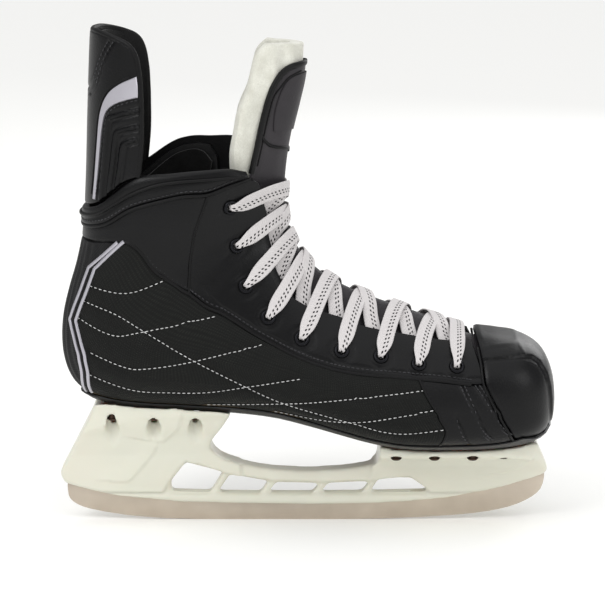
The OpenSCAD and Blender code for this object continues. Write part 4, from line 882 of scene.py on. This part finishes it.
GUARD = [low, top, left, flip(left)]
o = panel("tendon_guard", GUARD, 210, 130, 0.5, 3.1, (0.4,) * 4, 1.3, guard_relief)
put(o, "guard", SMOOTH, ["tendon_guard"])
o = panel("guard_lining", GUARD, 110, 60, -3.0, 3.0, (2,) * 4, 1.4)
put(o, "guard", PILE, ["guard_lining"])
ring = np.vstack([left, top[1:-1], flip(left)[::-1]])
put(cord_on("guard_binding", ring, 3.2, 2.8, -0.9), "guard", EDGE)
STRIPE_REAR = [[-120.4, 193], [-117.4, 223.8], [-115.4, 241.9], [-111.2, 253], [-104.3, 259.6], [-94.4, 264.2]]
STRIPE_FRONT = [[-119, 193], [-116.2, 216], [-114.4, 232.8], [-112, 243], [-106.3, 248.4], [-93.8, 252.6]]
for side, word in SIDES.items():
    o = panel("guard_trim_" + word,
              [line(STRIPE_REAR, side), line(STRIPE_FRONT, side), line([[-120.4, 193], [-119, 193]], side),
               line([[-94.4, 264.2], [-93.8, 258.5], [-93.8, 252.6]], side)],
              90, 16, 1.3, 1.0, (0,) * 4, 0.6)
    put(o, "guard", SILVER, ["guard_trim"])
    lower_edge = [[-118.4, 196], [-115.4, 218], [-113.5, 233], [-111.2, 241.6], [-106, 247], [-94, 251.2]]
    upper_edge = [[-98, 263.8], [-105, 260.6], [-112, 254], [-116.4, 242], [-118.4, 224], [-121.2, 196]]
    rows = [line(lower_edge, side), line(upper_edge, side)]
    for g in GROOVES:
        rows.append(line(g[:-1], side))
    put(stitches("guard_stitches_" + word, rows, 2.6, 1.9, 0.7, 0.95), "guard", DARK)
    put(cord_on("guard_seam_" + word, line(upper_edge, side), 1.2, 1.0, 0.8, 3), "guard", EDGE)

# ---------------------------------------------------------------- blade holder, runner and fastenings
def under_boot(x, y):
    """Height of the boot's underside above a place on the ground plan."""
    s = np.interp(-x, -ST[3:21, 0], np.arange(3, 21))
    r = sta(s)
    q = np.clip(np.abs(y - r[:, 6]) / np.where(y < r[:, 6], r[:, 4], r[:, 5]), 0, 0.97)
    c = np.sqrt(1 - q ** r[:, 8]) ** (2 / r[:, 8])
    return r[:, 1] + (r[:, 3] - r[:, 1]) * r[:, 7] * (1 - c)


holder = copy_of("blade_holder", "blade_holder_moulding")
rm = holder.modifiers.new("skin", "REMESH")
rm.mode, rm.voxel_size, rm.use_smooth_shade = "VOXEL", 0.0011, True
applied(holder)
bm = bmesh.new()
bm.from_mesh(holder.data)
for _ in range(5):
    bmesh.ops.smooth_vert(bm, verts=bm.verts[:], factor=0.5, use_axis_x=True, use_axis_y=True, use_axis_z=True)
bm.to_mesh(holder.data)
bm.free()
co = np.empty(len(holder.data.vertices) * 3)
holder.data.vertices.foreach_get("co", co)
co = co.reshape(-1, 3) * 1000
no = np.empty(len(co) * 3)
holder.data.vertices.foreach_get("normal", no)
no = no.reshape(-1, 3)
out = smooth((np.abs(no[:, 1]) - 0.3) / 0.3) * (np.abs(co[:, 1]) > 5.5)
h = np.zeros(len(co))
for pts, w in (([[-97, 51.6], [-84.6, 49.4], [-80.6, 51.6], [-74, 58.6], [-72, 63]], 0.5),
               ([[-114, 24.6], [-105, 24.2], [-100.8, 27.2], [-90, 40.2], [-88, 44]], 0.5),
               ([[109, 29.4], [118.4, 31], [125.8, 34.9], [128.6, 38]], 0.5)):
    d, sign = near(co[:, 0], co[:, 2], rounded(pts))
    h += 0.9 * smooth((d * sign + w) / (2 * w)) * smooth((11 - d) / 10)
co += no * (h * out)[:, None]
# the rail is recessed between its cells and the arch, and the flange hugs the boot's edge
ARCH_X = [-84, -78, -69, -58, -43, -20, 9, 38, 60, 72]
ARCH_Z = [18, 27, 38, 33.5, 28.4, 24.9, 24, 25, 28, 18]
ceiling = np.interp(co[:, 0], ARCH_X, ARCH_Z)
web = smooth((co[:, 2] - 15.8) / 0.9) * smooth((ceiling - co[:, 2]) / 0.9) * smooth((np.abs(co[:, 1]) - 4) / 1.5)
co[:, 1] -= np.sign(co[:, 1]) * 1.7 * web * (np.abs(co[:, 1]) < 9)
level = under_boot(co[:, 0], 0 * co[:, 1])
k = smooth((co[:, 2] - (level - 14)) / 10)
co[:, 2] += k * np.clip(under_boot(co[:, 0], co[:, 1]) - level, 0, 7)
holder.data.vertices.foreach_set("co", (co / 1000).ravel())
holder.data.update()
put(holder, "boot", IVORY, ["blade_holder"])
for cad, bevel, finish, slot in (("runner", 0.35, STEEL, "runner_steel"), ("rivets", 0.35, RIVET_COPPER_PAINTED_SHADE, "rivet_copper"),
                                 ("runner_bolts", 0.4, ZINC, "bolt_steel"), ("bolt_washers", 0.2, ZINC, "bolt_steel"),
                                 ("runner_nuts", 0.4, ZINC, "bolt_steel"), ("aglets", 0.4, CLEAR, "aglet_plastic")):
    put(copy_of(cad, cad + "_finish", bevel), "boot", finish, [cad])

# ---------------------------------------------------------------- lace
LACE_W, LACE_T = 8, 1.1
UNDER = -(T_PANEL + 1.8)


def full(p):
    return np.array([p[0], p[1] if p[1] < 0 else p[1] - 360])


def eye(i, side):
    return full(sf(*EYELETS[i], side))


def throat_at(s, side):
    f = np.interp(s, throat[:, 0], throat[:, 1])
    return np.array([s, -180 + f if side < 0 else -180 - f])


def stn(p, o, w, t, g, lean):
    return osp(p, o), g * (nrm(p[0], p[1]) + lean), w, LACE_T * t


def mixp(a, b, t):
    return a + (b - a) * t


def tang(p, q):
    return unit(osp(p, 0) - osp(q, 0))


def crossing(i, side, up, g):
    """One strand from eyelet i + 1 on one side to eyelet i on the other."""
    a, b = eye(i + 1, side), eye(i, -side)
    ta, tb = throat_at(mixp(a[0], b[0], 0.16), side), throat_at(mixp(a[0], b[0], 0.84), -side)
    m = np.array([(a[0] + b[0]) / 2, -180])
    ea, eb, w = tang(a, ta), tang(b, tb), LACE_W
    return [stn(a, UNDER - 0.2, 4.6, 1, g, -ea), stn(mixp(a, ta, 0.45), UNDER - 0.2, 6.4, 1, g, 0),
            stn(mixp(a, ta, 0.86), UNDER, w, 1, g, 0), stn(mixp(ta, m, 0.1), UNDER + 0.6, w, 1, g, 0),
            stn(mixp(ta, m, 0.32), -2.4, w, 1, g, 0), stn(mixp(ta, m, 0.6), -0.2 + up, w, 1, g, 0),
            stn(m, 0.4 + up * 1.5, w, 1, g, 0), stn(mixp(m, tb, 0.4), 0.3 + up * 1.2, w, 1, g, 0),
            stn(mixp(m, tb, 0.8), 0.6, w, 1, g, 0), stn(mixp(tb, b, 0.12), 1, w, 1, g, 0),
            stn(mixp(tb, b, 0.45), 1.4, w, 1, g, 0), stn(mixp(tb, b, 0.74), 2.1, 6.6, 1, g, 0),
            stn(mixp(tb, b, 0.92), 2.0, 4.6, 1, g, eb * 0.4), stn(b, 0.4, 3.6, 1.3, g, eb),
            (osp(b, -T_PANEL), g * eb, 3.4, LACE_T * 1.3)]


def half_bar(side):
    a = eye(8, side)
    m = np.array([a[0] - 0.15, -180])
    e = tang(a, throat_at(a[0], side))
    return [(osp(a, -T_PANEL), e, 3.4, LACE_T * 1.3), stn(a, 0.4, 3.6, 1.3, 1, e),
            stn(mixp(a, m, 0.05), 2.2, 4.2, 1, 1, e * 0.4), stn(mixp(a, m, 0.2), 2.1, 6.6, 1, 1, 0),
            stn(mixp(a, m, 0.42), 1.3, LACE_W, 1, 1, 0), stn(mixp(a, m, 0.62), 1.0, LACE_W, 1, 1, 0),
            stn(mixp(a, m, 0.82), 0.8, LACE_W, 1, 1, 0)]


def tail(side):
    c = eye(0, side)
    e = tang(c, throat_at(c[0], side))
    return [stn(c, UNDER - 1, 4.6, 1, -1, -e)] + [
        stn(full(sf(x, z, side)), o, LACE_W, 1, -1, 0) for x, z, o in
        ((-43.5, 188, -8), (-45.5, 185, -11.6), (-50, 179, -12.6), (-57, 168, -12.6), (-62, 155, -12.6),
         (-65, 142, -12.6), (-66, 130, -12.6))]


def strand(side):
    out = []
    for i in range(7, -1, -1):
        k = (7 - i) % 2
        out += crossing(i, side if k == 0 else -side, 1 if side < 0 else 0, -1 if k == 0 else 1)
    return out


a8 = eye(8, -1)
bar = half_bar(1) + [stn(np.array([a8[0] - 0.15, -180]), 0.7, LACE_W, 1, 1, 0)] + half_bar(-1)[::-1]
run = (strand(1) + tail(1))[::-1] + bar + strand(-1) + tail(-1)
P, N = np.array([r[0] for r in run]), np.array([r[1] for r in run])
WT = np.array([[r[2], r[3]] for r in run])
P, N, WT = rounded(P, 6), rounded(N, 6), rounded(WT, 6)
# the woven lace spreads a little where it lies flat
SPREAD = 0.14
WT[:, 0] *= 1 + SPREAD * smooth((WT[:, 0] - 5.5) / 2)
o = sweep("lace", P, unit(N), WT[:, 0], WT[:, 1], around=16, flat=4)
put(o, "boot", LACE, ["lace"])
LACE_LENGTH = float(np.sum(np.linalg.norm(np.diff(P, axis=0), axis=1)))
print("lace length mm", round(LACE_LENGTH))

# ---------------------------------------------------------------- studio
bm = bmesh.new()
bmesh.ops.create_grid(bm, x_segments=1, y_segments=1, size=40)
me = bpy.data.meshes.new("floor")
bm.to_mesh(me)
bm.free()
floor = bpy.data.objects.new("floor", me)
bpy.context.scene.collection.objects.link(floor)
pale, nt, b = surface("pale_studio_paper", Roughness=0.9, Specular_ior_level=0.1)
b.inputs["Base Color"].default_value = hexa("#f4f4f2")
b.inputs["Emission Color"].default_value = hexa("#ffffff")
b.inputs["Emission Strength"].default_value = 0.13
floor.data.materials.append(pale)
world = bpy.data.worlds.new("studio")
bpy.context.scene.world = world
world.use_nodes = True
world.node_tree.nodes["Background"].inputs[0].default_value = hexa("#ffffff")
world.node_tree.nodes["Background"].inputs[1].default_value = 0.33
sun = bpy.data.lights.new("ceiling_wash", "SUN")
sun.energy, sun.angle = 1.7, math.radians(100)
wash = bpy.data.objects.new("ceiling_wash", sun)
bpy.context.scene.collection.objects.link(wash)
wash.rotation_euler = (math.radians(14), math.radians(-8), 0)
for name, at, size, watts in (("key_softbox", (-1.1, -1.3, 1.3), 0.8, 12), ("fill_softbox", (1.5, -1.0, 0.8), 0.8, 7),
                              ("back_softbox", (0.9, 1.5, 0.8), 1.0, 8)):
    d = bpy.data.lights.new(name, "AREA")
    d.energy, d.size = watts, size
    l = bpy.data.objects.new(name, d)
    bpy.context.scene.collection.objects.link(l)
    l.location = at
    l.rotation_euler = (Vector((0, 0, 0.12)) - Vector(at)).to_track_quat("-Z", "Y").to_euler()
bpy.context.scene.view_settings.view_transform = "Standard"

bpy.context.view_layer.update()
